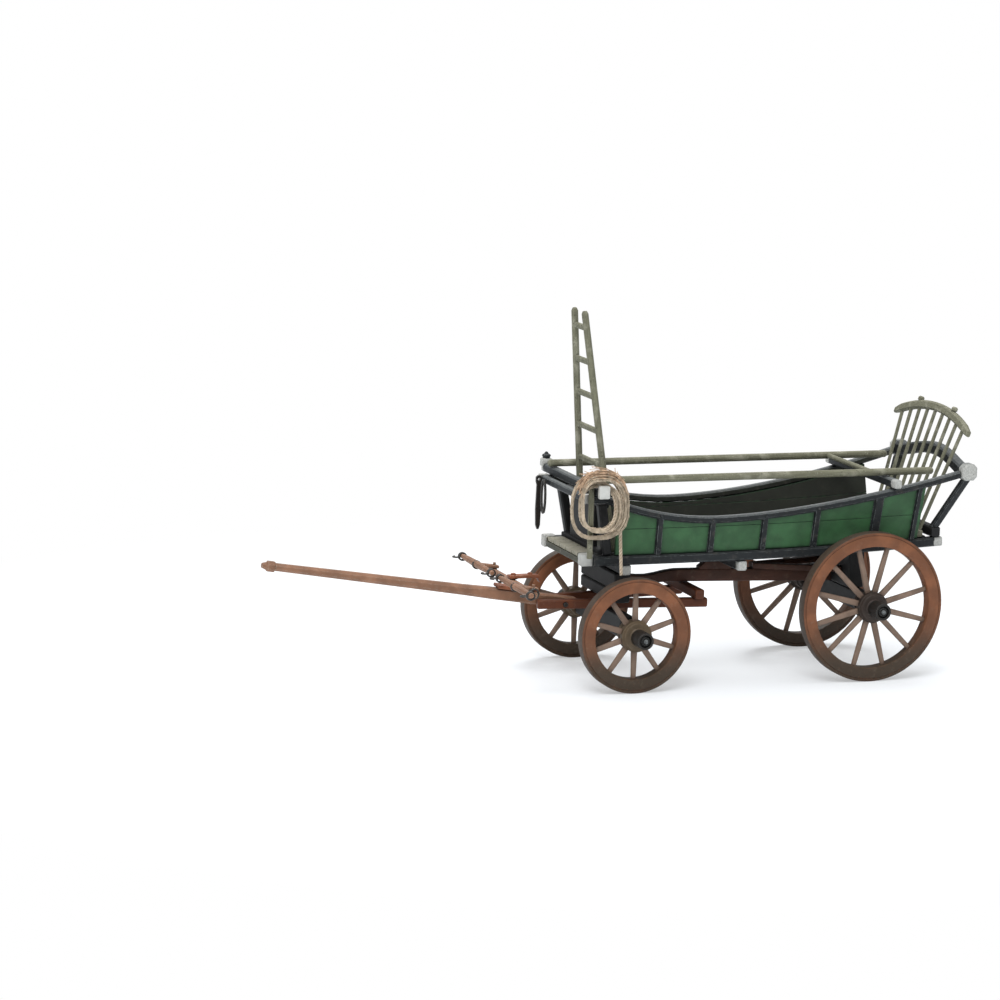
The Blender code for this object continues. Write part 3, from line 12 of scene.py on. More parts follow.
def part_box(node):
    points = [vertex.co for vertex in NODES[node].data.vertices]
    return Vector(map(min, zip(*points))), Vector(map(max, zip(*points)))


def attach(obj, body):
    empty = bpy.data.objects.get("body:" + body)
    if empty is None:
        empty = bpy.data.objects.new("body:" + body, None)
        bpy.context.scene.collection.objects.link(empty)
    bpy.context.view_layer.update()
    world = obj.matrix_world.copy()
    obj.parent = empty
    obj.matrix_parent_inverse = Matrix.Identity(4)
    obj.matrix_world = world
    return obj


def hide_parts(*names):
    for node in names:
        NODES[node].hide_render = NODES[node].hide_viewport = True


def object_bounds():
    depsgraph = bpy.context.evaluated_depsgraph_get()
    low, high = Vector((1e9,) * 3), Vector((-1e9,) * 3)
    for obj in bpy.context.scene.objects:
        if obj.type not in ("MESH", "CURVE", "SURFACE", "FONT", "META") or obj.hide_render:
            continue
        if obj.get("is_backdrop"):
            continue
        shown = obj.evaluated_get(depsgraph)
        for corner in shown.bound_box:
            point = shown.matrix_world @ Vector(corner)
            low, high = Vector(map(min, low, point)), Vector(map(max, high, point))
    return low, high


bl_info = {
    "name": "Model hay wagon",
    "version": (1, 0, 0),
    "blender": (4, 5, 0),
    "location": "View3D > Sidebar > Hay wagon",
    "description": "Paint, rope, irons and stage of a small model hay wagon",
    "category": "Object",
}

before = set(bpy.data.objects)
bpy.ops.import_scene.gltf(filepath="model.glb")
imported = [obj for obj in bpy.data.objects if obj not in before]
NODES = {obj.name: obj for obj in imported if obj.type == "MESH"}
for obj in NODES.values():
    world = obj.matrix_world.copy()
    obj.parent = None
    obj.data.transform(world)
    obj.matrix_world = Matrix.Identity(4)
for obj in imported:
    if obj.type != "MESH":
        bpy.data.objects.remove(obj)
CAD_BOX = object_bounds()
MM = 0.001

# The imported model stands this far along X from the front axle's own zero
AXLE_SHIFT = -0.402 * MM

FRONT_AXLE = Vector((AXLE_SHIFT, 0, 5.05 * MM))
REAR_AXLE = Vector((AXLE_SHIFT + 22.4 * MM, 0, 6.7 * MM))


def linear(red, green, blue):
    """A colour picked off a screen, from 0 to 255, as the light values that shaders take."""
    def one(value):
        value /= 255
        return value / 12.92 if value <= 0.04045 else ((value + 0.055) / 1.055) ** 2.4
    return (one(red), one(green), one(blue))


def colour(name, words, red, green, blue):
    """A colour property with its default picked off the screen."""
    return FloatVectorProperty(name=name, description=words, subtype="COLOR", min=0, max=1,
                               default=linear(red, green, blue))


def length(name, words, millimetres):
    """A length property, kept in metres."""
    return FloatProperty(name=name, description=words, subtype="DISTANCE", unit="LENGTH",
                         precision=5, min=0, default=millimetres * MM)


def mm(*values):
    """Millimetres as metres, for a size, a place or a station."""
    return tuple(value * MM for value in values)


class WagonColours(PropertyGroup):
    """Colours of the paints, woods, iron and rope."""
    green: colour("Plank green", "Paint of the side planks", 46, 84, 50)
    # Painted shade in the green where a plank meets a rib or rail.
    green_corner_shade: colour("Green dirt", "Grime where a plank meets a rib or rail", 18, 34, 26)
    navy: colour("Frame paint", "Blue-black paint of the rails, ribs and beams", 19, 23, 25)
    navy_rub: colour("Rubbed frame", "Grey where the frame paint is rubbed", 112, 116, 116)
    # Near-black, darker than the frame paint: painted shade for the beams under the bed and the gate.
    black: colour("Beam black", "Sooty paint of the bolsters, axle beds and gate", 15, 15, 15)
    white: colour("White ends", "Chipped white paint on the beam ends", 176, 176, 171)
    felloe: colour("Wheel brown", "Paint of the wheel rims", 116, 72, 46)
    # Painted shade on the lower half of the rims, with some road dirt.
    rim_foot_shade_and_dirt: colour("Rim dirt", "Road dirt on the lower half of the rims", 62, 50, 38)
    spoke: colour("Spoke brown", "Dustier paint of the spokes", 118, 98, 84)
    front_hub: colour("Front hub", "Dusty grey-brown of the front hubs", 84, 70, 52)
    rear_hub: colour("Rear hub", "Dark brown of the rear hubs", 46, 36, 30)
    gear: colour("Gear brown", "Paint of the perch and rear hounds", 66, 38, 25)
    hound: colour("Hound brown", "Redder paint of the front hounds and sway bar", 86, 44, 22)
    pole: colour("Pole brown", "Rubbed paint of the pole and swingletrees", 128, 92, 70)
    strap: colour("Strap brown", "Orange-brown paint of the plate and the strap on the pole", 124, 72, 46)
    dust: colour("Dust", "Pale dust in the paint", 158, 146, 130)
    wood: colour("Grey wood", "Weathered wood of the ladder, rack and hay poles", 108, 107, 88)
    wood_pale: colour("Pale wood", "Bleached streaks of the grey wood", 156, 154, 138)
    # Also the colour of the painted shade in the grey wood's corners.
    wood_dark: colour("Dark wood", "Grain and grime of the grey wood", 58, 59, 46)
    board: colour("Footboard", "Bare boards of the footboard", 150, 146, 130)
    inside: colour("Inside", "Dark wood inside the bed", 40, 42, 35)
    iron: colour("Iron", "Dull dark iron", 44, 42, 40)
    tread: colour("Tread", "Dusty brown of the iron tyres", 66, 54, 44)
    rope: colour("Rope", "Hemp thread", 186, 170, 148)
    rope_tan: colour("Rope tan", "Warm fibres where the rope lies over the bar", 190, 160, 132)
    rope_shade: colour("Rope shade", "Hollows between the strands", 112, 88, 66)
    floor: colour("Stage floor", "Plain pale floor under the wagon", 236, 240, 244)


class WagonSizes(PropertyGroup):
    """Sizes of the pieces that are modelled here."""
    tyre: length("Tyre", "Thickness of the iron tyres", 0.24)
    wheel_width: length("Wheel width", "Width of the felloes and tyres", 1.15)
    felloe_depth: length("Felloe depth", "Depth of the wooden rim inside the tyre", 1.0)
    spoke_width: length("Spoke width", "Width of a spoke at the hub", 0.54)
    spoke_thickness: length("Spoke thickness", "Thickness of a spoke", 0.42)
    hub_radius: length("Hub radius", "Radius of the hub's barrel", 1.35)
    nose_radius: length("Nose radius", "Radius of the iron nose round the axle's end", 0.74)
    bolt_radius: length("Bolt radius", "Radius of the bolt heads on the frame", 0.15)
    rub_width: length("Rub width", "How wide an edge is rubbed", 0.09)
    # How far the painted shade in corners reaches.
    crevice: length("Grime reach", "How far grime spreads out of a corner", 0.55)
    strand_turns: IntProperty(name="Lay of the rope", description="Turns of its strands in the whole rope",
                              default=46, min=4, max=200)
    yarns: IntProperty(name="Yarns", description="Loose yarns that run along the coil",
                       default=150, min=0, max=400)
    fibres: IntProperty(name="Stray fibres", description="Short fibres heaped on the top of the coil",
                        default=90, min=0, max=400)


def hues():
    return bpy.context.scene.wagon_colours


def sizes():
    return bpy.context.scene.wagon_sizes


class Paint:
    """One material's node tree, wired with short calls."""

    def __init__(self, name, roughness=0.62, metallic=0.0):
        self.material = bpy.data.materials.new(name)
        self.material.use_nodes = True
        self.tree = self.material.node_tree
        self.tree.nodes.clear()
        self.shader = self.node("ShaderNodeBsdfPrincipled")
        self.shader.inputs["Roughness"].default_value = roughness
        self.shader.inputs["Metallic"].default_value = metallic
        self.shader.inputs["Specular IOR Level"].default_value = 0.32
        self.output = self.node("ShaderNodeOutputMaterial")
        self.link(self.shader.outputs["BSDF"], self.output.inputs["Surface"])
        self.place = self.node("ShaderNodeTexCoord").outputs["Object"]

    def node(self, kind):
        return self.tree.nodes.new(kind)

    def link(self, one, other):
        self.tree.links.new(one, other)

    def put(self, value, socket):
        """Sets a socket to a value, or links another socket to it."""
        if isinstance(value, bpy.types.NodeSocket):
            self.link(value, socket)
        elif hasattr(value, "__len__"):
            socket.default_value = (*value, 1.0) if len(socket.default_value) == 4 else tuple(value)
        else:
            socket.default_value = value

    def noise(self, scale, detail=3.0, roughness=0.5, stretch=(1, 1, 1)):
        """Noise from 0 to 1; scale counts its patches in a metre."""
        spread = self.node("ShaderNodeMapping")
        spread.inputs["Scale"].default_value = stretch
        self.link(self.place, spread.inputs["Vector"])
        made = self.node("ShaderNodeTexNoise")
        made.inputs["Scale"].default_value = scale
        made.inputs["Detail"].default_value = detail
        made.inputs["Roughness"].default_value = roughness
        self.link(spread.outputs["Vector"], made.inputs["Vector"])
        return made.outputs["Fac"]

    def math(self, action, one, other=0.0):
        made = self.node("ShaderNodeMath")
        made.operation = action
        self.put(one, made.inputs[0])
        self.put(other, made.inputs[1])
        return made.outputs[0]

    def ramp(self, value, low, high, start=0.0, end=1.0):
        """A smooth step of value between low and high."""
        made = self.node("ShaderNodeMapRange")
        made.interpolation_type = "SMOOTHSTEP"
        for name, number in (("From Min", low), ("From Max", high), ("To Min", start), ("To Max", end)):
            self.put(number, made.inputs[name])
        self.put(value, made.inputs["Value"])
        return made.outputs["Result"]

    def mix(self, share, one, other):
        made = self.node("ShaderNodeMix")
        made.data_type = "RGBA"
        self.put(share, made.inputs["Factor"])
        self.put(one, made.inputs["A"])
        self.put(other, made.inputs["B"])
        return made.outputs["Result"]

    def rounded(self, radius):
        made = self.node("ShaderNodeBevel")
        made.samples = 6
        made.inputs["Radius"].default_value = radius
        return made.outputs["Normal"]

    def edges(self, radius):
        """About 1 on sharp edges and 0 on flat faces."""
        dot = self.node("ShaderNodeVectorMath")
        dot.operation = "DOT_PRODUCT"
        self.link(self.rounded(radius), dot.inputs[0])
        self.link(self.node("ShaderNodeNewGeometry").outputs["True Normal"], dot.inputs[1])
        return self.ramp(dot.outputs["Value"], 0.995, 0.88)

    def crevices(self, reach):
        """About 1 deep in a corner and 0 in the open."""
        made = self.node("ShaderNodeAmbientOcclusion")
        made.samples = 8
        made.inputs["Distance"].default_value = reach
        return self.ramp(made.outputs["AO"], 0.92, 0.35)

    def part(self, socket, letter):
        """One of the three numbers of a vector."""
        split = self.node("ShaderNodeSeparateXYZ")
        self.link(socket, split.inputs["Vector"])
        return split.outputs[letter]

    def axis(self, letter):
        return self.part(self.place, letter)

    def facing(self, letter):
        """How far a face looks along an axis, from -1 to 1."""
        return self.part(self.node("ShaderNodeTexCoord").outputs["Normal"], letter)

    def upward(self):
        """1 on faces that look up, and 0 on upright ones."""
        return self.ramp(self.facing("Z"), 0.45, 0.85)

    def running_face(self):
        """1 on a tyre's running face, and 0 on its two sides."""
        return self.ramp(self.math("ABSOLUTE", self.facing("Y")), 0.75, 0.4)

    def inward(self):
        """1 on the faces of a side that look at the wagon's middle line, and 0 on its outer faces."""
        side = self.math("SIGN", self.axis("Y"))
        return self.ramp(self.math("MULTIPLY", self.facing("Y"), side), -0.2, -0.5)

    def finish(self, base, height=None, bump=0.35, depth=0.03, radius=0.04):
        """Closes the tree with its colour, a bump and softened edges."""
        self.put(base, self.shader.inputs["Base Color"])
        normal = self.rounded(radius * MM)
        if height is not None:
            made = self.node("ShaderNodeBump")
            made.inputs["Strength"].default_value = bump
            made.inputs["Distance"].default_value = depth * MM
            self.link(height, made.inputs["Height"])
            self.link(normal, made.inputs["Normal"])
            normal = made.outputs["Normal"]
        self.link(normal, self.shader.inputs["Normal"])
        return self.material


def shade(tint, share):
    """The same colour with less light in it, or with more."""
    return tuple(min(part * share, 1) for part in tint)


def worn_paint(name, tint, rub, painted_shade_tint, rub_share=1.0, dust_share=0.1, roughness=0.62, inner=None, low=None,
               tread=None, settled=0.0, white_from=None, white_behind=None):
    """Brushed paint: mottled, with painted shade in the corners, rubbed on the edges.

    inner colours the faces that look at the middle line, low darkens a wheel's foot with painted shade and
    some road dirt, tread a tyre's running face, and white covers what lies beyond a given Y or behind a given
    X.
    """
    paint = Paint(name, roughness)
    size = sizes()
    patches = paint.ramp(paint.noise(650, 3), 0.35, 0.72)
    speckle = paint.noise(6200, 4, 0.62)
    base = paint.mix(patches, shade(tint, 0.78), shade(tint, 1.18))
    if low is not None:
        # Painted shade with some road dirt: darker towards a wheel's foot.
        base = paint.mix(paint.ramp(paint.axis("Z"), 6.5 * MM, 1.5 * MM), base, low)
    if tread is not None:
        base = paint.mix(paint.running_face(), base, paint.mix(speckle, shade(tread, 0.6), shade(tread, 1.3)))
    if inner is not None:
        base = paint.mix(paint.inward(), base, paint.mix(patches, shade(inner, 0.75), inner))
    base = paint.mix(paint.ramp(speckle, 0.6, 0.74, 0, 0.22), base, rub)
    sideways = paint.math("ABSOLUTE", paint.axis("Y"))
    for start, place in ((white_from, sideways), (white_behind, paint.axis("X"))):
        if start is not None:
            base = chipped_white(paint, base, start, place, speckle)
    dusty = paint.ramp(paint.noise(1500, 5, 0.7), 0.52, 0.75, 0, dust_share)
    base = paint.mix(dusty, base, hues().dust)
    if settled:
        lying = paint.math("MULTIPLY", paint.upward(), paint.ramp(speckle, 0.3, 0.7, settled * 0.5, settled))
        base = paint.mix(lying, base, rub)
    # Painted shade: darker in corners and where parts meet, from ambient occlusion.
    painted_corner_shade = paint.math("MULTIPLY", paint.crevices(size.crevice), paint.ramp(patches, 0, 1, 1.0, 0.7))
    base = paint.mix(paint.math("MULTIPLY", painted_corner_shade, 0.85), base, painted_shade_tint)
    patchy = paint.ramp(paint.noise(2400, 4, 0.6), 0.4, 0.58)
    worn = paint.math("MULTIPLY", paint.edges(size.rub_width), patchy)
    base = paint.mix(paint.math("MULTIPLY", worn, rub_share), base, rub)
    return paint.finish(base, speckle)


def chipped_white(paint, base, start, place, speckle):
    """White paint over base where place is past start, with a ragged border and a few bare chips."""
    chips = paint.math("MULTIPLY", paint.math("SUBTRACT", paint.noise(2600, 4, 0.6), 0.5), 0.5 * MM)
    cover = paint.ramp(paint.math("ADD", place, chips), start, start + 0.1 * MM)
    cover = paint.math("MULTIPLY", cover, paint.ramp(paint.noise(3400, 5, 0.65), 0.68, 0.62))
    white = paint.mix(paint.ramp(speckle, 0.35, 0.65), shade(hues().white, 0.72), hues().white)
    return paint.mix(cover, base, white)


def grey_wood(name, tint, pale, dark, along="X"):
    """Weathered wood with its grain drawn along one axis, and dark and pale specks."""
    paint = Paint(name, 0.78)
    stretch = {"X": (0.08, 1, 1), "Y": (1, 0.08, 1), "Z": (1, 1, 0.08)}[along]
    grain = paint.noise(5200, 5, 0.6, stretch)
    base = paint.mix(paint.ramp(grain, 0.34, 0.66), shade(tint, 0.72), tint)
    base = paint.mix(paint.ramp(paint.noise(900, 3), 0.5, 0.75, 0, 0.55), base, pale)
    base = paint.mix(paint.ramp(paint.noise(4300, 4, 0.65), 0.6, 0.68, 0, 0.85), base, dark)
    base = paint.mix(paint.ramp(paint.noise(7400, 3, 0.6), 0.63, 0.7, 0, 0.8), base, pale)
    # Painted shade: darker in corners and where parts meet, in the dark wood colour.
    base = paint.mix(paint.math("MULTIPLY", paint.crevices(sizes().crevice), 0.8), base, dark)
    worn = paint.math("MULTIPLY", paint.edges(sizes().rub_width), 0.45)
    base = paint.mix(worn, base, pale)
    return paint.finish(base, grain, 0.5, 0.035)


def dull_iron(name, tint, rust):
    paint = Paint(name, 0.55, 0.55)
    pits = paint.noise(4800, 5, 0.7)
    base = paint.mix(paint.ramp(pits, 0.42, 0.7), tint, rust)
    base = paint.mix(paint.math("MULTIPLY", paint.edges(sizes().rub_width), 0.5), base, hues().navy_rub)
    return paint.finish(base, pits, 0.5, 0.03)


def coat_all(finish, *nodes):
    """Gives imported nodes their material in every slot."""
    for node in nodes:
        made = NODES[node].data
        made.materials.clear()
        made.materials.append(finish)


def select_only(*pieces):
    bpy.ops.object.select_all(action="DESELECT")
    for piece in pieces:
        piece.select_set(True)
    bpy.context.view_layer.objects.active = pieces[-1]


# Modelling

RIM_STEPS = 96
FRONT_SPOKES = 10
REAR_SPOKES = 12
BOARD_COUNT = 5
RIB_COUNT = 4
RIB_FIRST_X = 2.8 * MM
RIB_PITCH = 4.93 * MM

# Each beam with white ends, and how far from the middle line its white begins, in millimetres
WHITE_ENDS = {
    "front_crossbar": 6.9, "rein_bar": 5.2, "front_cross_beam": 4.75, "mid_cross_beam": 4.75,
    "rear_bar": 6.6, "rear_crossbeam": 6.75,
}
SILL_WHITE_X = 28.9 * MM


def start_shaping():
    """Opens the new primitive for shaping, with its place already in its mesh."""
    bpy.ops.object.transform_apply(location=True, rotation=True, scale=True)
    bpy.ops.object.mode_set(mode="EDIT")
    bpy.ops.mesh.select_all(action="SELECT")


def end_shaping():
    bpy.ops.mesh.select_all(action="SELECT")
    bpy.ops.mesh.normals_make_consistent(inside=False)
    bpy.ops.object.mode_set(mode="OBJECT")


def pick(kind, rule):
    """While shaping, selects only the faces or the edges that meet the rule."""
    bpy.ops.mesh.select_mode(type=kind)
    bpy.ops.mesh.select_all(action="DESELECT")
    data = bpy.context.active_object.data
    mesh = bmesh.from_edit_mesh(data)
    for part in mesh.faces if kind == "FACE" else mesh.edges:
        if rule(part):
            part.select_set(True)
    mesh.select_flush_mode()
    bmesh.update_edit_mesh(data)


def pick_sharp(degrees):
    bpy.ops.mesh.select_mode(type="EDGE")
    bpy.ops.mesh.select_all(action="DESELECT")
    bpy.ops.mesh.edges_select_sharp(sharpness=math.radians(degrees))


def make_block(centre, size, rounding, turn=(0, 0, 0)):
    """A squared block with eased edges."""
    bpy.ops.object.select_all(action="DESELECT")
    bpy.ops.mesh.primitive_cube_add(size=1, location=centre, rotation=turn, scale=size)
    start_shaping()
    bpy.ops.mesh.bevel(offset=rounding, segments=2, affect="EDGES")
    end_shaping()
    return bpy.context.active_object


def make_turned(start, way, stations, vertices=32):
    """A turned piece: a disc drawn out along way; stations are (distance, radius)."""
    way = Vector(way).normalized()
    (at, radius), *rest = stations
    bpy.ops.object.select_all(action="DESELECT")
    bpy.ops.mesh.primitive_circle_add(vertices=vertices, radius=radius, fill_type="NGON",
                                      location=start + way * at,
                                      rotation=way.to_track_quat("Z", "Y").to_euler())
    start_shaping()
    for next_at, next_radius in rest:
        bpy.ops.mesh.extrude_region_move(TRANSFORM_OT_translate={"value": way * (next_at - at)})
        bpy.ops.transform.resize(value=(next_radius / radius,) * 3, center_override=start + way * next_at)
        at = next_at
        radius = next_radius
    end_shaping()
    return bpy.context.active_object


def make_ring(centre, way, radius, depth, width, rounding, vertices=RIM_STEPS):
    """A squared ring: a drum whose two ends are inset and bridged, then eased."""
    bpy.ops.object.select_all(action="DESELECT")
    turn = Vector(way).to_track_quat("Z", "Y").to_euler()
    bpy.ops.mesh.primitive_cylinder_add(vertices=vertices, radius=radius, depth=width,
                                        end_fill_type="NGON", location=centre, rotation=turn)
    start_shaping()
    pick("FACE", lambda face: len(face.verts) == vertices)
    bpy.ops.mesh.inset(thickness=depth)
    bpy.ops.mesh.bridge_edge_loops()
    pick_sharp(60)
    bpy.ops.mesh.bevel(offset=rounding, segments=2, affect="EDGES")
    end_shaping()
    return bpy.context.active_object


def join(*pieces):
    """Joins pieces into the last one."""
    select_only(*pieces)
    bpy.ops.object.join()
    return bpy.context.active_object


def copy_of(piece):
    """A copy with its own mesh, selected and active."""
    select_only(piece)
    bpy.ops.object.duplicate(linked=False)
    return bpy.context.active_object


def moved_copy(piece, step):
    made = copy_of(piece)
    bpy.ops.transform.translate(value=step)
    bpy.ops.object.transform_apply(location=True, rotation=True, scale=True)
    return made


def half_turned_copy(piece, centre):
    """A copy turned half a turn about the upright line through centre."""
    made = copy_of(piece)
    start_shaping()
    bpy.ops.transform.rotate(value=math.pi, orient_axis="Z", center_override=(centre.x, 0, 0))
    bpy.ops.object.mode_set(mode="OBJECT")
    return made


def middle_of(node):
    low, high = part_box(node)
    return (low + high) / 2


def finished(piece, name, body, slot, finish, smooth=32):
    """Names a piece, smooths it, gives it its finish and lets it ride on its body."""
    select_only(piece)
    bpy.ops.object.shade_smooth_by_angle(angle=math.radians(smooth))
    piece.name = name
    piece.data.name = name
    piece.data.materials.clear()
    piece.data.materials.append(finish)
    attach(piece, body)
    return piece


# Operators


class WAGON_OT_paint_frame(Operator):
    """Paint the rails, ribs and beams blue-black, with white beam ends, and the bolsters, axle beds, sand
    board, gate and low rear beam near-black as painted shade.
    """
    bl_idname = "wagon.paint_frame"
    bl_label = "Frame paint"

    def execute(self, context):
        hue = hues()
        # The colour of the painted shade in the frame's corners.
        painted_shade_tint = shade(hue.navy, 0.4)
        coat_all(worn_paint("frame_paint", hue.navy, hue.navy_rub, painted_shade_tint, inner=hue.inside, settled=0.6),
                 "left_side_frame", "right_side_frame", "left_rear_post", "right_rear_post")
        coat_all(worn_paint("sill_paint", hue.navy, hue.navy_rub, painted_shade_tint, white_behind=SILL_WHITE_X),
                 "left_sill", "right_sill")
        # Near-black paint as painted shade under the bed, on the bolsters, axle beds, sand board, gate and
        # low rear beam.
        coat_all(worn_paint("beam_black_painted_shade", hue.black, shade(hue.navy_rub, 0.35), shade(hue.black, 0.4),
                            rub_share=0.5, dust_share=0.03),
                 "front_bolster", "front_axle_bed", "sand_board", "rear_bolster", "rear_axle_bed",
                 "front_gate", "rear_low_beam")
        for node, start in WHITE_ENDS.items():
            coat_all(worn_paint(node + "_paint", hue.navy, hue.navy_rub, painted_shade_tint, settled=0.6,
                                white_from=start * MM), node)
        coat_all(worn_paint("bearer_paint", hue.wood_dark, hue.wood, shade(hue.wood_dark, 0.4),
                            dust_share=0.5, white_from=4.0 * MM), "footboard_bearer")
        return {"FINISHED"}


class WAGON_OT_add_end_blocks(Operator):
    """Add the white end blocks of the front bars, the knobbed peg and the bolts on the ribs."""
    bl_idname = "wagon.add_end_blocks"
    bl_label = "End blocks and bolts"

    def execute(self, context):
        hue = hues()
        white = worn_paint("white_blocks", hue.white, shade(hue.white, 1.15), shade(hue.white, 0.25),
                           rub_share=0.4, dust_share=0.2)
        dark = worn_paint("bolt_black", hue.navy, hue.navy_rub, shade(hue.navy, 0.4))
        bar_low, bar_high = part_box("front_crossbar")
        bar = middle_of("front_crossbar")
        rein = middle_of("rein_bar")
        rein_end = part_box("rein_bar")[1].y
        bearer = middle_of("footboard_bearer")
        bearer_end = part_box("footboard_bearer")[1].y
        for name, side in (("right", 1), ("left", -1)):
            rein_cap = make_block((rein.x, side * (rein_end + 0.08 * MM), rein.z),
                                  mm(0.86, 0.55, 0.82), 0.1 * MM)
            foot_cap = make_block((bearer.x - 0.02 * MM, side * (bearer_end - 0.3 * MM), bearer.z),
                                  mm(1.12, 0.9, 1.08), 0.12 * MM)
            caps = join(rein_cap, foot_cap)
            if side < 0:
                cap = make_block((bar.x, bar_low.y - 0.02 * MM, bar.z + 0.16 * MM),
                                 mm(1.0, 0.5, 1.15), 0.12 * MM)
                caps = join(cap, caps)
            finished(caps, name + "_end_blocks", "wagon", "bare_grey_boards", white)
        band = make_block((bar.x, bar_high.y - 0.3 * MM, bar_high.z + 0.08 * MM),
                          mm(1.0, 0.72, 0.74), 0.12 * MM)
        finished(band, "peg_band", "wagon", "bare_grey_boards", white)
        knob_foot = Vector((bar.x, bar_high.y - 0.3 * MM, bar_high.z + 0.35 * MM))
        knob = make_turned(knob_foot, (0, 0, 1), [
            mm(0, 0.3), mm(0.2, 0.34), mm(0.32, 0.4), mm(0.42, 0.36), mm(0.5, 0.2), mm(0.62, 0.14),
            mm(0.68, 0.06)])
        finished(knob, "peg_knob", "wagon", "blue_black_paint", dark)
        for name, side in (("left", -1), ("right", 1)):
            bolts = make_rib_bolts(name + "_side_frame", side)
            finished(bolts, name + "_rib_bolts", "wagon", "blue_black_paint", dark)
        return {"FINISHED"}


def make_rib_bolts(node, side):
    """A domed bolt head at the top and the foot of each rib, set on the side's own surface."""
    low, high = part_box(node)
    size = sizes()
    bolt = make_turned(Vector((0, 0, 0)), (0, 0, 1), [
        (-0.1 * MM, size.bolt_radius), (0.04 * MM, size.bolt_radius),
        (0.09 * MM, size.bolt_radius * 0.8), (0.12 * MM, size.bolt_radius * 0.45)], 12)
    made = []
    for i in range(RIB_COUNT):
        x = AXLE_SHIFT + RIB_FIRST_X + i * RIB_PITCH
        foot = surface_at(node, (x, side * 0.02, low.z + 0.45 * MM), (0, -side, 0))
        top = high.z
        while surface_at(node, (x, side * 0.02, top), (0, -side, 0)) is None:
            top -= 0.1 * MM
        head = surface_at(node, (x, side * 0.02, top - 0.35 * MM), (0, -side, 0))
        for place, normal in (foot, head):
            one = copy_of(bolt)
            turn = normal.to_track_quat("Z", "Y").to_matrix().to_4x4()
            one.matrix_world = Matrix.Translation(place) @ turn
            bpy.ops.object.transform_apply(location=True, rotation=True, scale=True)
            made.append(one)
    select_only(bolt)
    bpy.ops.object.delete()
    return join(*made)


def surface_at(node, start, way):
    """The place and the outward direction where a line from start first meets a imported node."""
    piece = NODES[node]
    back = piece.matrix_world.inverted()
    found, place, normal, _ = piece.ray_cast(back @ Vector(start), back.to_3x3() @ Vector(way))
    if not found:
        return None
    return piece.matrix_world @ place, (piece.matrix_world.to_3x3() @ normal).normalized()


class WAGON_OT_paint_planks(Operator):
    """Paint the side planks green, with painted shade towards the ribs and rails."""
    bl_idname = "wagon.paint_planks"
    bl_label = "Plank paint"

    def execute(self, context):
        hue = hues()
        green = worn_paint("plank_green", hue.green, shade(hue.green, 1.5), hue.green_corner_shade,
                           rub_share=0.4, dust_share=0.03, roughness=0.55, inner=hue.inside)
        coat_all(green, "left_lower_plank", "left_upper_plank", "right_lower_plank", "right_upper_plank")
        return {"FINISHED"}


class WAGON_OT_paint_gear(Operator):
    """Paint the perch, hounds, pole, evener and swingletrees red-brown."""
    bl_idname = "wagon.paint_gear"
    bl_label = "Gear paint"

    def execute(self, context):
        hue = hues()
        gear = worn_paint("gear_brown", hue.gear, shade(hue.gear, 1.9), shade(hue.gear, 0.35))
        finished(make_perch(), "perch_beam", "wagon", "red_brown_paint", gear)
        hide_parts("perch")
        finished(make_rear_hounds(), "rear_hound_pair", "wagon", "red_brown_paint", gear)
        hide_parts("rear_hounds")
        coat_all(worn_paint("hound_brown", hue.hound, shade(hue.hound, 1.9), shade(hue.hound, 0.35)),
                 "left_hound", "right_hound", "sway_bar")
        coat_all(worn_paint("pole_brown", hue.pole, hue.dust, shade(hue.pole, 0.35)),
                 "pole", "evener", "left_swingletree", "right_swingletree")
        strap = worn_paint("strap_brown", hue.strap, shade(hue.strap, 1.5), shade(hue.strap, 0.35))
        coat_all(strap, "pole_plate")
        finished(make_evener_strap(), "evener_strap", "pole", "red_brown_paint", strap)
        add_draught_irons()
        return {"FINISHED"}


def make_bar(stations, y, width, rounding):
    """A squared bar drawn out along X; stations are (x, foot, top)."""
    (x, foot, top), *rest = stations
    bpy.ops.object.select_all(action="DESELECT")
    bpy.ops.mesh.primitive_plane_add(size=1, location=(x, y, (foot + top) / 2), rotation=(0, math.pi / 2, 0))
    bpy.context.active_object.scale = (top - foot, width, 1)
    start_shaping()
    for next_x, next_foot, next_top in rest:
        rise = (next_foot + next_top - foot - top) / 2
        bpy.ops.mesh.extrude_region_move(TRANSFORM_OT_translate={"value": (next_x - x, 0, rise)})
        bpy.ops.transform.resize(value=(1, 1, (next_top - next_foot) / (top - foot)),
                                 center_override=(next_x, y, (next_foot + next_top) / 2))
        x, foot, top = next_x, next_foot, next_top
    bpy.ops.mesh.select_all(action="SELECT")
    bpy.ops.mesh.normals_make_consistent(inside=False)
    pick_sharp(50)
    bpy.ops.mesh.bevel(offset=rounding, segments=2, affect="EDGES")
    end_shaping()
    return bpy.context.active_object


# Along the perch in millimetres: its place, foot and top. The front is kept clear of the sand board
PERCH_STATIONS = (
    (1.6, 8.34, 8.98), (2.6, 8.2, 8.88), (3.4, 8.16, 8.86), (4.4, 8.17, 9.0), (5.2, 8.2, 9.16),
    (6.2, 8.2, 9.27), (8.0, 8.14, 9.24), (12.2, 8.02, 9.12), (18.2, 7.82, 8.94), (20.8, 7.76, 8.72),
)


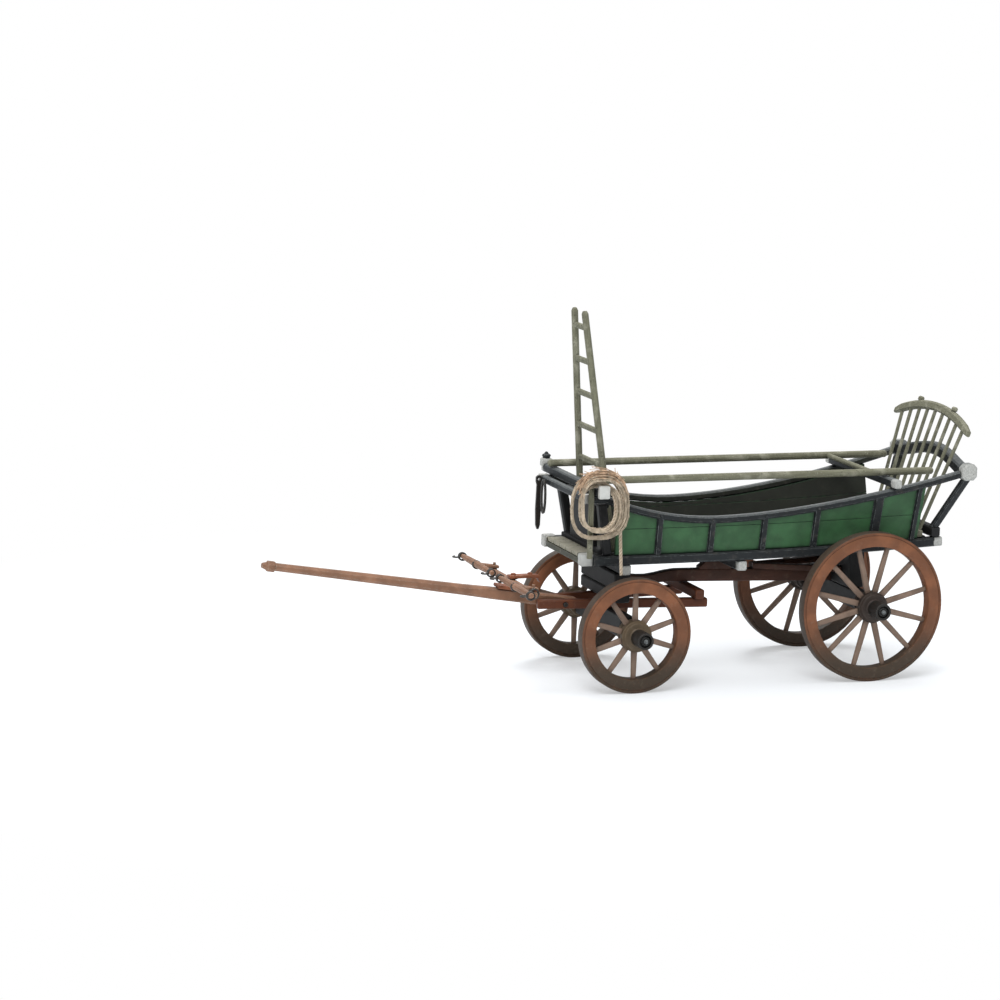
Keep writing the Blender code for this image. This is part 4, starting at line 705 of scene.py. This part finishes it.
def make_perch():
    """The perch, which climbs out of the front bolster and falls gently to the rear axle, and its block."""
    low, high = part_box("perch")
    stations = [(low.x, *mm(8.37, 9.0))]
    stations += [mm(*station) for station in PERCH_STATIONS]
    stations.append((high.x, *mm(7.76, 8.64)))
    perch = make_bar(stations, 0, high.y - low.y, 0.1 * MM)
    beam_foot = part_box("mid_cross_beam")[0].z
    middle = middle_of("mid_cross_beam").x - 0.5 * MM
    foot = 9.0 * MM
    ramp = [(1.55 * MM, 9.45 * MM), (1.3 * MM, 9.6 * MM), (0.95 * MM, beam_foot)]
    stations = [(middle - away, foot, top) for away, top in ramp]
    stations += [(middle + away, foot, top) for away, top in reversed(ramp)]
    block = make_bar(stations, 0, (high.y - low.y) * 0.85, 0.06 * MM)
    return join(block, perch)


def make_rear_hounds():
    """The two arms that spread from the perch to the rear bolster."""
    low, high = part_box("rear_hounds")
    front = Vector((low.x + 0.2 * MM, 0.16 * MM, 9.34 * MM))
    back = Vector((high.x, high.y - 0.4 * MM, 9.2 * MM))
    way = back - front
    arms = []
    for side in (-1, 1):
        middle = (front + back) / 2
        arm = make_block((middle.x, middle.y * side, middle.z), (way.length, 0.7 * MM, 0.5 * MM), 0.08 * MM,
                         (0, -math.asin(way.z / way.length), math.atan2(way.y, way.x) * side))
        arms.append(arm)
    return join(*arms)


# The strap's front end in millimetres, short enough for the swingletrees to swing past it
STRAP_FRONT = -9.5


def make_evener_strap():
    """The flat bar over the evener, bent down on to the pole behind it."""
    bolt_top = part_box("evener_bolt")[1].z
    low = bolt_top - 0.22 * MM
    course = ((STRAP_FRONT, -0.02, 0.26), (-7.4, 0, 0.28), (-6.9, -0.06, 0.24), (-6.6, -0.5, 0.1))
    stations = [(x * MM, low + foot * MM, low + top * MM) for x, foot, top in course]
    strap = make_bar(stations, 0, 0.86 * MM, 0.05 * MM)
    bolt = middle_of("evener_bolt")
    head = [mm(0, 0.24), mm(0.16, 0.24), mm(0.22, 0.18), mm(0.25, 0.08)]
    heads = [make_turned(Vector((x, 0, low + 0.2 * MM)), (0, 0, 1), head, 6)
             for x in (bolt.x, bolt.x + 1.55 * MM)]
    return join(*heads, strap)


def make_hook(centre, radius, wire, start, sweep, axis):
    """Round wire bent through an arc: a disc spun about axis; start is the disc's way from the centre."""
    start = Vector(start).normalized()
    axis = Vector(axis).normalized()
    bpy.ops.object.select_all(action="DESELECT")
    turn = axis.cross(start).to_track_quat("Z", "Y").to_euler()
    bpy.ops.mesh.primitive_circle_add(vertices=10, radius=wire, fill_type="NGON",
                                      location=centre + start * radius, rotation=turn)
    start_shaping()
    bpy.ops.mesh.spin(steps=14, angle=sweep, center=centre, axis=axis)
    end_shaping()
    return bpy.context.active_object


def add_draught_irons():
    """Clips round the ends and middles of the swingletrees and the evener's ends, with their hooks."""
    iron = dull_iron("clip_iron", shade(hues().iron, 1.6), shade(hues().tread, 0.9))
    for body, side in (("left_swingletree", -1), ("right_swingletree", 1)):
        low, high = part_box(body)
        inner, outer = sorted((low.y, high.y), key=abs)
        x = low.x + 0.36 * MM
        z = high.z - 0.4 * MM
        parts = []
        ends = (outer - side * 0.45 * MM, inner + side * 0.45 * MM)
        for y in (ends[0], (inner + outer) / 2, ends[1]):
            parts.append(make_ring(Vector((x, y, z)), (0, 1, 0), *mm(0.4, 0.14, 0.36, 0.03), 20))
        for y in ends:
            parts.append(make_hook(Vector((x - 0.62 * MM, y, z)), *mm(0.26, 0.08),
                                   (1, 0, 0), 1.5 * math.pi, (0, 0, side)))
        finished(join(*parts), body + "_clips", body, "dark_iron", iron)
    low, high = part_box("evener")
    x = (low.x + high.x) / 2
    z = low.z + 0.36 * MM
    parts = [make_ring(Vector((x, y, z)), (0, 1, 0), *mm(0.5, 0.12, 0.34, 0.03), 8)
             for y in (low.y + 0.3 * MM, high.y - 0.3 * MM)]
    finished(join(*parts), "evener_clips", "evener", "dark_iron", iron)


class WAGON_OT_make_wheels(Operator):
    """Make the four wheels: felloes in an iron tyre, tapered spokes, a turned hub and an iron nose."""
    bl_idname = "wagon.make_wheels"
    bl_label = "Wheels"

    def execute(self, context):
        hue = hues()
        rust = shade(hue.tread, 0.5)
        tyre = wheel_paint("tyre_brown", shade(hue.felloe, 0.8), hue.rim_foot_shade_and_dirt, hue.tread)
        finishes = {
            "felloes": ("red_brown_paint", wheel_paint("felloe_brown", hue.felloe, hue.rim_foot_shade_and_dirt)),
            "spokes": ("red_brown_paint", wheel_paint("spoke_brown", hue.spoke, hue.spoke)),
            "tyre": ("dark_iron", tyre),
            "nose": ("dark_iron", dull_iron("nose_iron", hue.iron, rust)),
        }
        for end, axle, spokes, hub in (("front", FRONT_AXLE, FRONT_SPOKES, hue.front_hub),
                                       ("rear", REAR_AXLE, REAR_SPOKES, hue.rear_hub)):
            finishes["hub"] = ("red_brown_paint", wheel_paint(end + "_hub_brown", hub, hub))
            left = make_wheel(axle, spokes)
            right = {part: half_turned_copy(piece, axle) for part, piece in left.items()}
            for side, parts in (("left", left), ("right", right)):
                wheel = f"{end}_{side}_wheel"
                for part, piece in parts.items():
                    slot, finish = finishes[part]
                    finished(piece, f"{wheel}_{part}", wheel, slot, finish)
                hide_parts(wheel)
                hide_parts(f"{end}_{side}_tyre")
        return {"FINISHED"}


# Along a hub in millimetres out from the wheel's middle, with its radius as a share of the barrel's
HUB_BACK = ((-1.7, 0.66), (-1.62, 0.72), (-1.25, 0.76), (-1.2, 0.84))
HUB_BARREL = (
    (-0.42, 0.98), (-0.38, 1.03), (-0.22, 1.03), (-0.18, 0.99),
    (0.45, 0.99), (0.5, 1.02), (0.62, 1.02), (0.66, 0.97),
)


def make_wheel(axle, spokes):
    """The left wheel on an axle, as its separate parts; the axle's height is the wheel's radius."""
    size = sizes()
    radius = axle.z
    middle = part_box("front_left_tyre")[0].y + size.wheel_width / 2
    centre = Vector((axle.x, middle, radius))
    out = Vector((0, -1, 0))
    rim = radius - size.tyre
    half = size.wheel_width / 2
    felloes = make_ring(centre, out, rim, size.felloe_depth, size.wheel_width, 0.07 * MM)
    tyre = make_ring(centre, out, radius, size.tyre, size.wheel_width, 0.05 * MM)
    barrel = size.hub_radius
    face = half + 0.35 * MM
    stations = [(at * MM, barrel * share) for at, share in HUB_BACK]
    stations.append((-half, barrel * 0.88))
    stations += [(at * MM, barrel * share) for at, share in HUB_BARREL]
    stations += [(face - 0.06 * MM, barrel * 0.93), (face, barrel * 0.88)]
    stations += [(face + 0.03 * MM, size.nose_radius * 1.12), (face + 0.2 * MM, size.nose_radius * 0.9)]
    hub = make_turned(centre, out, stations, 48)
    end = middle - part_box("front_axle")[0].y + 0.06 * MM
    nose = make_ring(centre + out * (face + end) / 2, out, size.nose_radius, 0.2 * MM, end - face,
                     0.06 * MM, 32)
    made = make_spokes(centre, rim, spokes)
    return {"felloes": felloes, "tyre": tyre, "hub": hub, "nose": nose, "spokes": made}


def make_spokes(centre, rim, count):
    """One tapered, eased spoke, spun round the hub."""
    size = sizes()
    start = size.hub_radius * 0.75
    end = rim - size.felloe_depth * 0.7
    angle = math.pi / count
    way = Vector((math.cos(angle), 0, math.sin(angle)))
    bpy.ops.object.select_all(action="DESELECT")
    bpy.ops.mesh.primitive_cube_add(size=1, location=centre + way * (start + end) / 2,
                                    rotation=(0, -angle, 0),
                                    scale=(end - start, size.spoke_thickness, size.spoke_width))
    start_shaping()
    pick("FACE", lambda face: (face.calc_center_median() - centre).length > end * 0.98)
    bpy.ops.transform.resize(value=(0.78, 0.78, 0.78), center_override=centre + way * end)
    pick("EDGE", lambda edge: edge.calc_length() > (end - start) * 0.9)
    bpy.ops.mesh.bevel(offset=size.spoke_thickness * 0.28, segments=3, affect="EDGES")
    bpy.ops.mesh.select_all(action="SELECT")
    bpy.ops.mesh.spin(steps=count - 1, dupli=True, angle=2 * math.pi * (count - 1) / count,
                      center=centre, axis=(0, 1, 0))
    end_shaping()
    return bpy.context.active_object


def wheel_paint(name, tint, foot_shade_and_dirt_tint, tread=None):
    """Worn brown paint, darker towards the wheel's foot with painted shade and some road dirt."""
    return worn_paint(name, tint, shade(tint, 1.55), shade(tint, 0.35), rub_share=0.7, low=foot_shade_and_dirt_tint,
                      tread=tread)


class WAGON_OT_finish_wood(Operator):
    """Weather the ladder, the tail rack, the hay poles, the stake, the footboard and the floor."""
    bl_idname = "wagon.finish_wood"
    bl_label = "Weathered wood"

    def execute(self, context):
        hue = hues()
        for name, along, nodes in (("upright_wood", "Z", ("ladder", "tail_rack", "front_stake")),
                                   ("lengthwise_wood", "X", ("left_hay_pole", "right_hay_pole")),
                                   ("rod_wood", "Y", ("hay_pole_rod",))):
            coat_all(grey_wood(name, hue.wood, hue.wood_pale, hue.wood_dark, along), *nodes)
        coat_all(grey_wood("floor_wood", hue.inside, hue.wood, shade(hue.inside, 0.4), "X"), "floor")
        boards = grey_wood("footboard_wood", hue.board, hue.wood_pale, hue.wood_dark, "X")
        low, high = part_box("footboard")
        pitch = (high.y - low.y) / BOARD_COUNT
        board = make_block(((low.x + high.x) / 2, low.y + pitch / 2, (low.z + high.z) / 2),
                           (high.x - low.x, pitch - 0.09 * MM, high.z - low.z), 0.05 * MM)
        row = [board] + [moved_copy(board, (0, pitch * i, 0)) for i in range(1, BOARD_COUNT)]
        finished(join(*row), "footboard_boards", "wagon", "bare_grey_boards", boards)
        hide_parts("footboard")
        return {"FINISHED"}


class WAGON_OT_finish_irons(Operator):
    """Give the axles, pins, strap and link a dull dark iron."""
    bl_idname = "wagon.finish_irons"
    bl_label = "Irons"

    def execute(self, context):
        iron = dull_iron("dark_iron", hues().iron, shade(hues().tread, 0.7))
        pale = dull_iron("bolt_iron", hues().navy_rub, hues().iron)
        for node, body in (("front_axle", "forecarriage"), ("rear_axle", "wagon")):
            middle = middle_of(node)
            left = make_turned(Vector((middle.x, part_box(node)[0].y, middle.z)), (0, -1, 0), [
                mm(-0.1, 0.21), mm(0.08, 0.21), mm(0.15, 0.17), mm(0.19, 0.09)], 16)
            right = half_turned_copy(left, middle)
            finished(join(left, right), node + "_bolts", body, "dark_iron", pale)
        coat_all(dull_iron("axle_iron", shade(hues().iron, 0.35), shade(hues().iron, 0.8)),
                 "front_axle", "rear_axle")
        coat_all(iron, "king_pin", "pole_pin", "evener_bolt", "strap_iron", "hanging_link")
        return {"FINISHED"}


# Each lamp's name, place and width in metres, and power in watts
LAMPS = (
    ("key_lamp", (-0.10, -0.16, 0.26), 0.16, 0.62),
    ("back_lamp", (0.04, 0.15, 0.20), 0.08, 0.26),
    ("top_lamp", (0.02, 0.05, 0.34), 0.30, 0.6),
)
LAMPS_LOOK_AT = Vector((0, 0, 0.01))
CAMERA_PLACE = Vector((-110.412 * MM + AXLE_SHIFT, -283.835 * MM, 68.095 * MM))
CAMERA_YAW = math.radians(19.467)
CAMERA_PITCH = math.radians(9.819)
CAMERA_ROLL = math.radians(1.614)
CAMERA_LENS = 126.19


class WAGON_OT_add_stage(Operator):
    """Add the pale floor, the soft lamps and the camera."""
    bl_idname = "wagon.add_stage"
    bl_label = "Stage"

    def execute(self, context):
        add_floor()
        add_world()
        for lamp in LAMPS:
            add_lamp(*lamp)
        add_camera()
        return {"FINISHED"}


def add_floor():
    """A pale floor that keeps the wagon's shadow and fades to plain white around it."""
    bpy.ops.object.select_all(action="DESELECT")
    bpy.ops.mesh.primitive_plane_add(size=3.0, location=(0, 0, 0))
    floor = bpy.context.active_object
    floor.name = "stage_floor"
    paint = Paint("pale_floor", 0.9)
    paint.put(tuple(hues().floor), paint.shader.inputs["Base Color"])
    paint.shader.inputs["Specular IOR Level"].default_value = 0.1
    reach = paint.node("ShaderNodeVectorMath")
    reach.operation = "LENGTH"
    paint.link(paint.place, reach.inputs[0])
    ray = paint.node("ShaderNodeLightPath")
    far = paint.ramp(reach.outputs["Value"], 0.034, 0.075, 0.4, 1)
    white = paint.node("ShaderNodeEmission")
    seen = paint.node("ShaderNodeMixShader")
    paint.link(paint.math("MULTIPLY", far, ray.outputs["Is Camera Ray"]), seen.inputs["Fac"])
    paint.link(paint.shader.outputs["BSDF"], seen.inputs[1])
    paint.link(white.outputs["Emission"], seen.inputs[2])
    paint.link(seen.outputs["Shader"], paint.output.inputs["Surface"])
    floor.data.materials.append(paint.material)
    floor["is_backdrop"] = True


def add_world():
    """A soft white room that the camera, gloss and glass see as plain white."""
    world = bpy.data.worlds.new("studio")
    bpy.context.scene.world = world
    world.use_nodes = True
    nodes = world.node_tree.nodes
    links = world.node_tree.links
    room = nodes["Background"]
    room.inputs["Color"].default_value = (0.96, 0.98, 1.0, 1)
    room.inputs["Strength"].default_value = 0.62
    seen = nodes.new("ShaderNodeBackground")
    seen.inputs["Color"].default_value = (1, 1, 1, 1)
    seen.inputs["Strength"].default_value = 1.0
    ray = nodes.new("ShaderNodeLightPath")
    either = nodes.new("ShaderNodeMath")
    either.operation = "MAXIMUM"
    links.new(ray.outputs["Is Camera Ray"], either.inputs[0])
    links.new(ray.outputs["Is Transmission Ray"], either.inputs[1])
    pick = nodes.new("ShaderNodeMixShader")
    links.new(either.outputs[0], pick.inputs["Fac"])
    links.new(room.outputs[0], pick.inputs[1])
    links.new(seen.outputs[0], pick.inputs[2])
    links.new(pick.outputs[0], nodes["World Output"].inputs["Surface"])


def add_lamp(name, place, size, power):
    """A square soft lamp that looks at the wagon."""
    light = bpy.data.lights.new(name, "AREA")
    light.size = size
    light.energy = power
    lamp = bpy.data.objects.new(name, light)
    bpy.context.scene.collection.objects.link(lamp)
    lamp.location = place
    lamp.rotation_euler = (LAMPS_LOOK_AT - Vector(place)).to_track_quat("-Z", "Y").to_euler()


def add_camera():
    """The photograph's viewing angle: from the front left, a little above."""
    level = Vector((math.cos(CAMERA_YAW), -math.sin(CAMERA_YAW), 0))
    ahead = Vector((math.sin(CAMERA_YAW), math.cos(CAMERA_YAW), 0)) * math.cos(CAMERA_PITCH)
    ahead.z = -math.sin(CAMERA_PITCH)
    rise = level.cross(ahead)
    right = level * math.cos(CAMERA_ROLL) + rise * math.sin(CAMERA_ROLL)
    up = rise * math.cos(CAMERA_ROLL) - level * math.sin(CAMERA_ROLL)
    data = bpy.data.cameras.new("camera")
    data.lens = CAMERA_LENS
    data.sensor_width = 36
    data.clip_start = 0.01
    camera = bpy.data.objects.new("camera", data)
    bpy.context.scene.collection.objects.link(camera)
    camera.matrix_world = Matrix((right, up, -ahead)).transposed().to_4x4()
    camera.location = CAMERA_PLACE
    bpy.context.scene.camera = camera


# Rope

ROPE_DIAMETER = 0.3 * MM
ROPE_PITCH = 0.74 * MM
ROPE_TURNS = 3
ROPE_TURN_POINTS = 24
ROPE_CENTRE_X = -3.6 * MM + AXLE_SHIFT
ROPE_FIRST_Y = -6.56 * MM

# Fitted by search, not read off the photograph: with these the table's path, thinned to 1 mm, still
# passes its check along the whole rope. The first reading was 0, 0.22, 1.45, 1.9, 2.5, 5.2 and 1.2
ROPE_START_POINT = 6
ROPE_STEP = 0.247
ROPE_HALF_WIDTH = 1.509 * MM
ROPE_HALF_HEIGHT = 1.877 * MM
ROPE_SQUARENESS = 2.487
ROPE_HANG = Vector((0.288, 0.05, -5.41)) * MM
ROPE_PULL = Vector((0, 0, -1)) * 1.114 * MM

ROPE_HANG_POINTS = 8
ROPE_RING_STEP = 0.1 * MM
ROPE_RING_POINTS = 18
ROPE_STRANDS = 3


def smooth_step(value, start, span):
    share = min(max((value - start) / span, 0), 1)
    return share * share * (3 - 2 * share)


def coil_point(turns, top):
    """A point of the coil, counted in turns; top is the height of the rope's middle over the crossbar."""
    lane = smooth_step(turns, 1 - ROPE_STEP, ROPE_STEP) - smooth_step(turns, 2, ROPE_STEP)
    layer = smooth_step(turns, 1.5, ROPE_STEP)
    half_width = ROPE_HALF_WIDTH + layer * ROPE_PITCH
    half_height = ROPE_HALF_HEIGHT + layer * ROPE_PITCH
    angle = -2 * math.pi * turns
    power = 2 / ROPE_SQUARENESS
    x = ROPE_CENTRE_X + half_width * math.copysign(abs(math.cos(angle)) ** power, math.cos(angle))
    z = top - ROPE_HALF_HEIGHT + half_height * math.copysign(abs(math.sin(angle)) ** power, math.sin(angle))
    return Vector((x, ROPE_FIRST_Y - lane * ROPE_PITCH, z))


def rope_route():
    """The rope's middle line: nearly three turns round the crossbar, then the hanging end."""
    top = coil_top()
    steps = range(ROPE_START_POINT, ROPE_TURN_POINTS * ROPE_TURNS + 1)
    points = [coil_point(i / ROPE_TURN_POINTS, top) for i in steps]
    down = Vector((0, 0, -1))
    points.append(points[-1] + down * ROPE_DIAMETER)
    points.append(points[-1] + down * 0.04 * MM)
    first = points[-1] + down * ROPE_DIAMETER
    points.append(first)
    foot = first + ROPE_HANG
    for i in range(1, ROPE_HANG_POINTS + 1):
        share = i / ROPE_HANG_POINTS
        near = first.lerp(first + ROPE_PULL, share)
        far = (first + ROPE_PULL).lerp(foot, share)
        points.append(near.lerp(far, share))
    return points


def route_length(points):
    return sum((b - a).length for a, b in zip(points, points[1:]))


def frames_along(points):
    """A pair of turning directions at each point that do not twist along the route."""
    found = []
    side = None
    for i, point in enumerate(points):
        ahead = (points[min(i + 1, len(points) - 1)] - points[max(i - 1, 0)]).normalized()
        if side is None:
            side = ahead.orthogonal().normalized()
        side = (side - ahead * side.dot(ahead)).normalized()
        found.append((point, side, ahead.cross(side)))
    return found


def resample(points, step):
    """The same route in equal short steps."""
    found = [points[0].copy()]
    left = step
    for a, b in zip(points, points[1:]):
        span = (b - a).length
        at = left
        while at <= span:
            found.append(a.lerp(b, at / span))
            at += step
        left = at - span
    if (found[-1] - points[-1]).length > step * 0.3:
        found.append(points[-1].copy())
    return found


def twisted_tube(points, turns):
    """A tube on the points whose strands swell and wind round it, with its lay kept as UV."""
    rings = frames_along(points)
    mesh = bmesh.new()
    layer = mesh.loops.layers.uv.new("rope")
    made = []
    for i, (point, side, other) in enumerate(rings):
        twist = 2 * math.pi * turns * i / len(rings)
        ring = []
        for j in range(ROPE_RING_POINTS):
            angle = 2 * math.pi * j / ROPE_RING_POINTS
            swell = 1 - 0.14 * (1 - abs(math.cos(ROPE_STRANDS / 2 * (angle - twist))))
            out = side * math.cos(angle) + other * math.sin(angle)
            ring.append(mesh.verts.new(point + out * ROPE_DIAMETER / 2 * swell))
        made.append(ring)
    for i, (a, b) in enumerate(zip(made, made[1:])):
        for j in range(ROPE_RING_POINTS):
            k = (j + 1) % ROPE_RING_POINTS
            face = mesh.faces.new((a[j], a[k], b[k], b[j]))
            face.smooth = True
            spots = ((i, j), (i, j + 1), (i + 1, j + 1), (i + 1, j))
            for loop, (u, v) in zip(face.loops, spots):
                loop[layer].uv = (u / len(rings), v / ROPE_RING_POINTS)
    mesh.faces.new(list(reversed(made[0])))
    mesh.faces.new(made[-1])
    bmesh.ops.recalc_face_normals(mesh, faces=mesh.faces)
    data = bpy.data.meshes.new("rope")
    mesh.to_mesh(data)
    mesh.free()
    return data


class WAGON_OT_lay_rope(Operator):
    """Lay the hemp rope: a twisted tube on the coil's route, with stray fibres."""
    bl_idname = "wagon.lay_rope"
    bl_label = "Rope"

    def execute(self, context):
        size = sizes()
        route = rope_route()
        points = resample(route, ROPE_RING_STEP)
        rope = bpy.data.objects.new("hemp_rope", twisted_tube(points, size.strand_turns))
        bpy.context.scene.collection.objects.link(rope)
        rope.data.materials.append(hemp("hemp_thread", size.strand_turns))
        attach(rope, "wagon")
        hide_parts("rope_coil", "rope_tail")
        lay_fibres("rope_yarns", hemp_fibre("pale_yarn", hues().rope), yarn_routes(size.yarns))
        lay_fibres("rope_tuft", hemp_fibre("tan_yarn", hues().rope_tan), tuft_routes(size.fibres))
        tuple(route[0])
        route_length(route)
        [tuple(point) for point in points]
        return {"FINISHED"}


def yarn_offset(turns, top, out, aside):
    """A point beside the coil: out from its middle, and aside along the bar that it hangs on."""
    point = coil_point(turns, top)
    away = point - Vector((ROPE_CENTRE_X, point.y, top - ROPE_HALF_HEIGHT))
    return point + away.normalized() * out + Vector((0, -aside, 0))


def coil_top():
    """The height of the rope's middle where it lies on the crossbar."""
    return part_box("rope_coil")[1].z - ROPE_DIAMETER / 2 - ROPE_PITCH


def yarn_routes(count):
    """Loose yarns that run along the coil, many on its rear side and few on its front side."""
    chance = random.Random(11)
    top = coil_top()
    for _ in range(count):
        begin = chance.uniform(0, 2.2)
        span = chance.uniform(0.3, 0.8)
        out, aside = chance.uniform(-0.05, 0.48), chance.uniform(-0.1, 0.3)
        wave, phase = chance.uniform(0.03, 0.1), chance.uniform(0, 6.28)
        route = []
        for i in range(17):
            turns = begin + span * i / 16
            angle = -2 * math.pi * turns
            bulk = 0.2 + 0.8 * max(math.cos(angle), 0.8 * math.sin(angle), 0)
            drift = out * bulk + wave * math.sin(phase + 9 * turns)
            route.append(yarn_offset(turns, top, drift * MM, (0.12 + aside * bulk) * MM))
        yield route


def tuft_routes(count):
    """Short fibres heaped where the rope lies over the bar, and a few that stand off."""
    chance = random.Random(5)
    top = coil_top()
    for i in range(count):
        middle = 1.75 + chance.uniform(-0.13, 0.13)
        span = chance.uniform(0.06, 0.16)
        out, aside = chance.uniform(0.1, 0.75), chance.uniform(-0.2, 0.35)
        flare = chance.uniform(0.3, 0.7) if i % 5 == 0 else chance.uniform(-0.1, 0.15)
        yield [yarn_offset(middle - span * (j / 8 - 0.5), top, (out + flare * (j / 8) ** 3) * MM,
                           (aside + 0.1 * math.sin(i + j)) * MM) for j in range(9)]


def lay_fibres(name, finish, routes):
    """Thin threads along the routes, as one mesh that rides with the rope."""
    curve = bpy.data.curves.new(name, "CURVE")
    curve.dimensions = "3D"
    curve.bevel_depth = 0.03 * MM
    curve.bevel_resolution = 1
    curve.use_fill_caps = True
    for route in routes:
        thread = curve.splines.new("POLY")
        thread.points.add(len(route) - 1)
        for spot, place in zip(thread.points, route):
            spot.co = (*place, 1)
    threads = bpy.data.objects.new(name, curve)
    bpy.context.scene.collection.objects.link(threads)
    select_only(threads)
    bpy.ops.object.convert(target="MESH")
    finished(bpy.context.active_object, name, "wagon", "hemp_rope", finish, 60)


def hemp_fibre(name, tint):
    paint = Paint(name, 0.95)
    base = paint.mix(paint.ramp(paint.noise(2200, 4, 0.6), 0.35, 0.7), shade(tint, 0.62), shade(tint, 1.15))
    return paint.finish(base, radius=0.005)


def hemp(name, turns):
    """Tan thread with darker hollows between its strands."""
    paint = Paint(name, 0.9)
    lay = paint.node("ShaderNodeUVMap")
    lay.uv_map = "rope"
    along = paint.math("MULTIPLY", paint.part(lay.outputs["UV"], "X"), float(turns))
    turn = paint.math("SUBTRACT", paint.part(lay.outputs["UV"], "Y"), along)
    wave = paint.math("COSINE", paint.math("MULTIPLY", turn, ROPE_STRANDS * math.pi))
    wave = paint.math("ABSOLUTE", wave)
    fuzz = paint.noise(9000, 4, 0.7)
    base = paint.mix(paint.ramp(wave, 0.1, 0.75), hues().rope_shade, hues().rope)
    base = paint.mix(paint.ramp(fuzz, 0.4, 0.7, 0, 0.6), base, shade(hues().rope, 1.35))
    base = paint.mix(paint.ramp(paint.noise(700, 2), 0.5, 0.7, 0, 0.4), base, hues().rope_shade)
    paint.shader.inputs["Sheen Weight"].default_value = 0.3
    return paint.finish(base, fuzz, 0.6, 0.03, 0.01)


class WAGON_PT_panel(Panel):
    """Lists the pieces and finishes of the hay wagon."""
    bl_idname = "WAGON_PT_panel"
    bl_label = "Hay wagon"
    bl_space_type = "VIEW_3D"
    bl_region_type = "UI"
    bl_category = "Hay wagon"

    def draw(self, context):
        for step in STEPS:
            self.layout.operator(step.bl_idname)
        for group in (context.scene.wagon_colours, context.scene.wagon_sizes):
            box = self.layout.box()
            for name in group.__annotations__:
                box.prop(group, name)


STEPS = (
    WAGON_OT_add_stage,
    WAGON_OT_lay_rope,
    WAGON_OT_paint_frame,
    WAGON_OT_add_end_blocks,
    WAGON_OT_paint_planks,
    WAGON_OT_paint_gear,
    WAGON_OT_make_wheels,
    WAGON_OT_finish_wood,
    WAGON_OT_finish_irons,
)
CLASSES = (WagonColours, WagonSizes, *STEPS, WAGON_PT_panel)


def register():
    for kind in CLASSES:
        bpy.utils.register_class(kind)
    bpy.types.Scene.wagon_colours = PointerProperty(type=WagonColours)
    bpy.types.Scene.wagon_sizes = PointerProperty(type=WagonSizes)


def unregister():
    del bpy.types.Scene.wagon_sizes
    del bpy.types.Scene.wagon_colours
    for kind in reversed(CLASSES):
        bpy.utils.unregister_class(kind)


def main():
    """Makes every piece in order and works out the two boxes."""
    register()
    bpy.context.scene.view_settings.view_transform = "Standard"
    bpy.ops.wagon.add_stage()
    bpy.ops.wagon.lay_rope()
    bpy.ops.wagon.paint_frame()
    bpy.ops.wagon.add_end_blocks()
    bpy.ops.wagon.paint_planks()
    bpy.ops.wagon.paint_gear()
    bpy.ops.wagon.make_wheels()
    bpy.ops.wagon.finish_wood()
    bpy.ops.wagon.finish_irons()
    boxes = [[list(corner) for corner in box] for box in (CAD_BOX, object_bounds())]


if __name__ == "__main__":
    main()
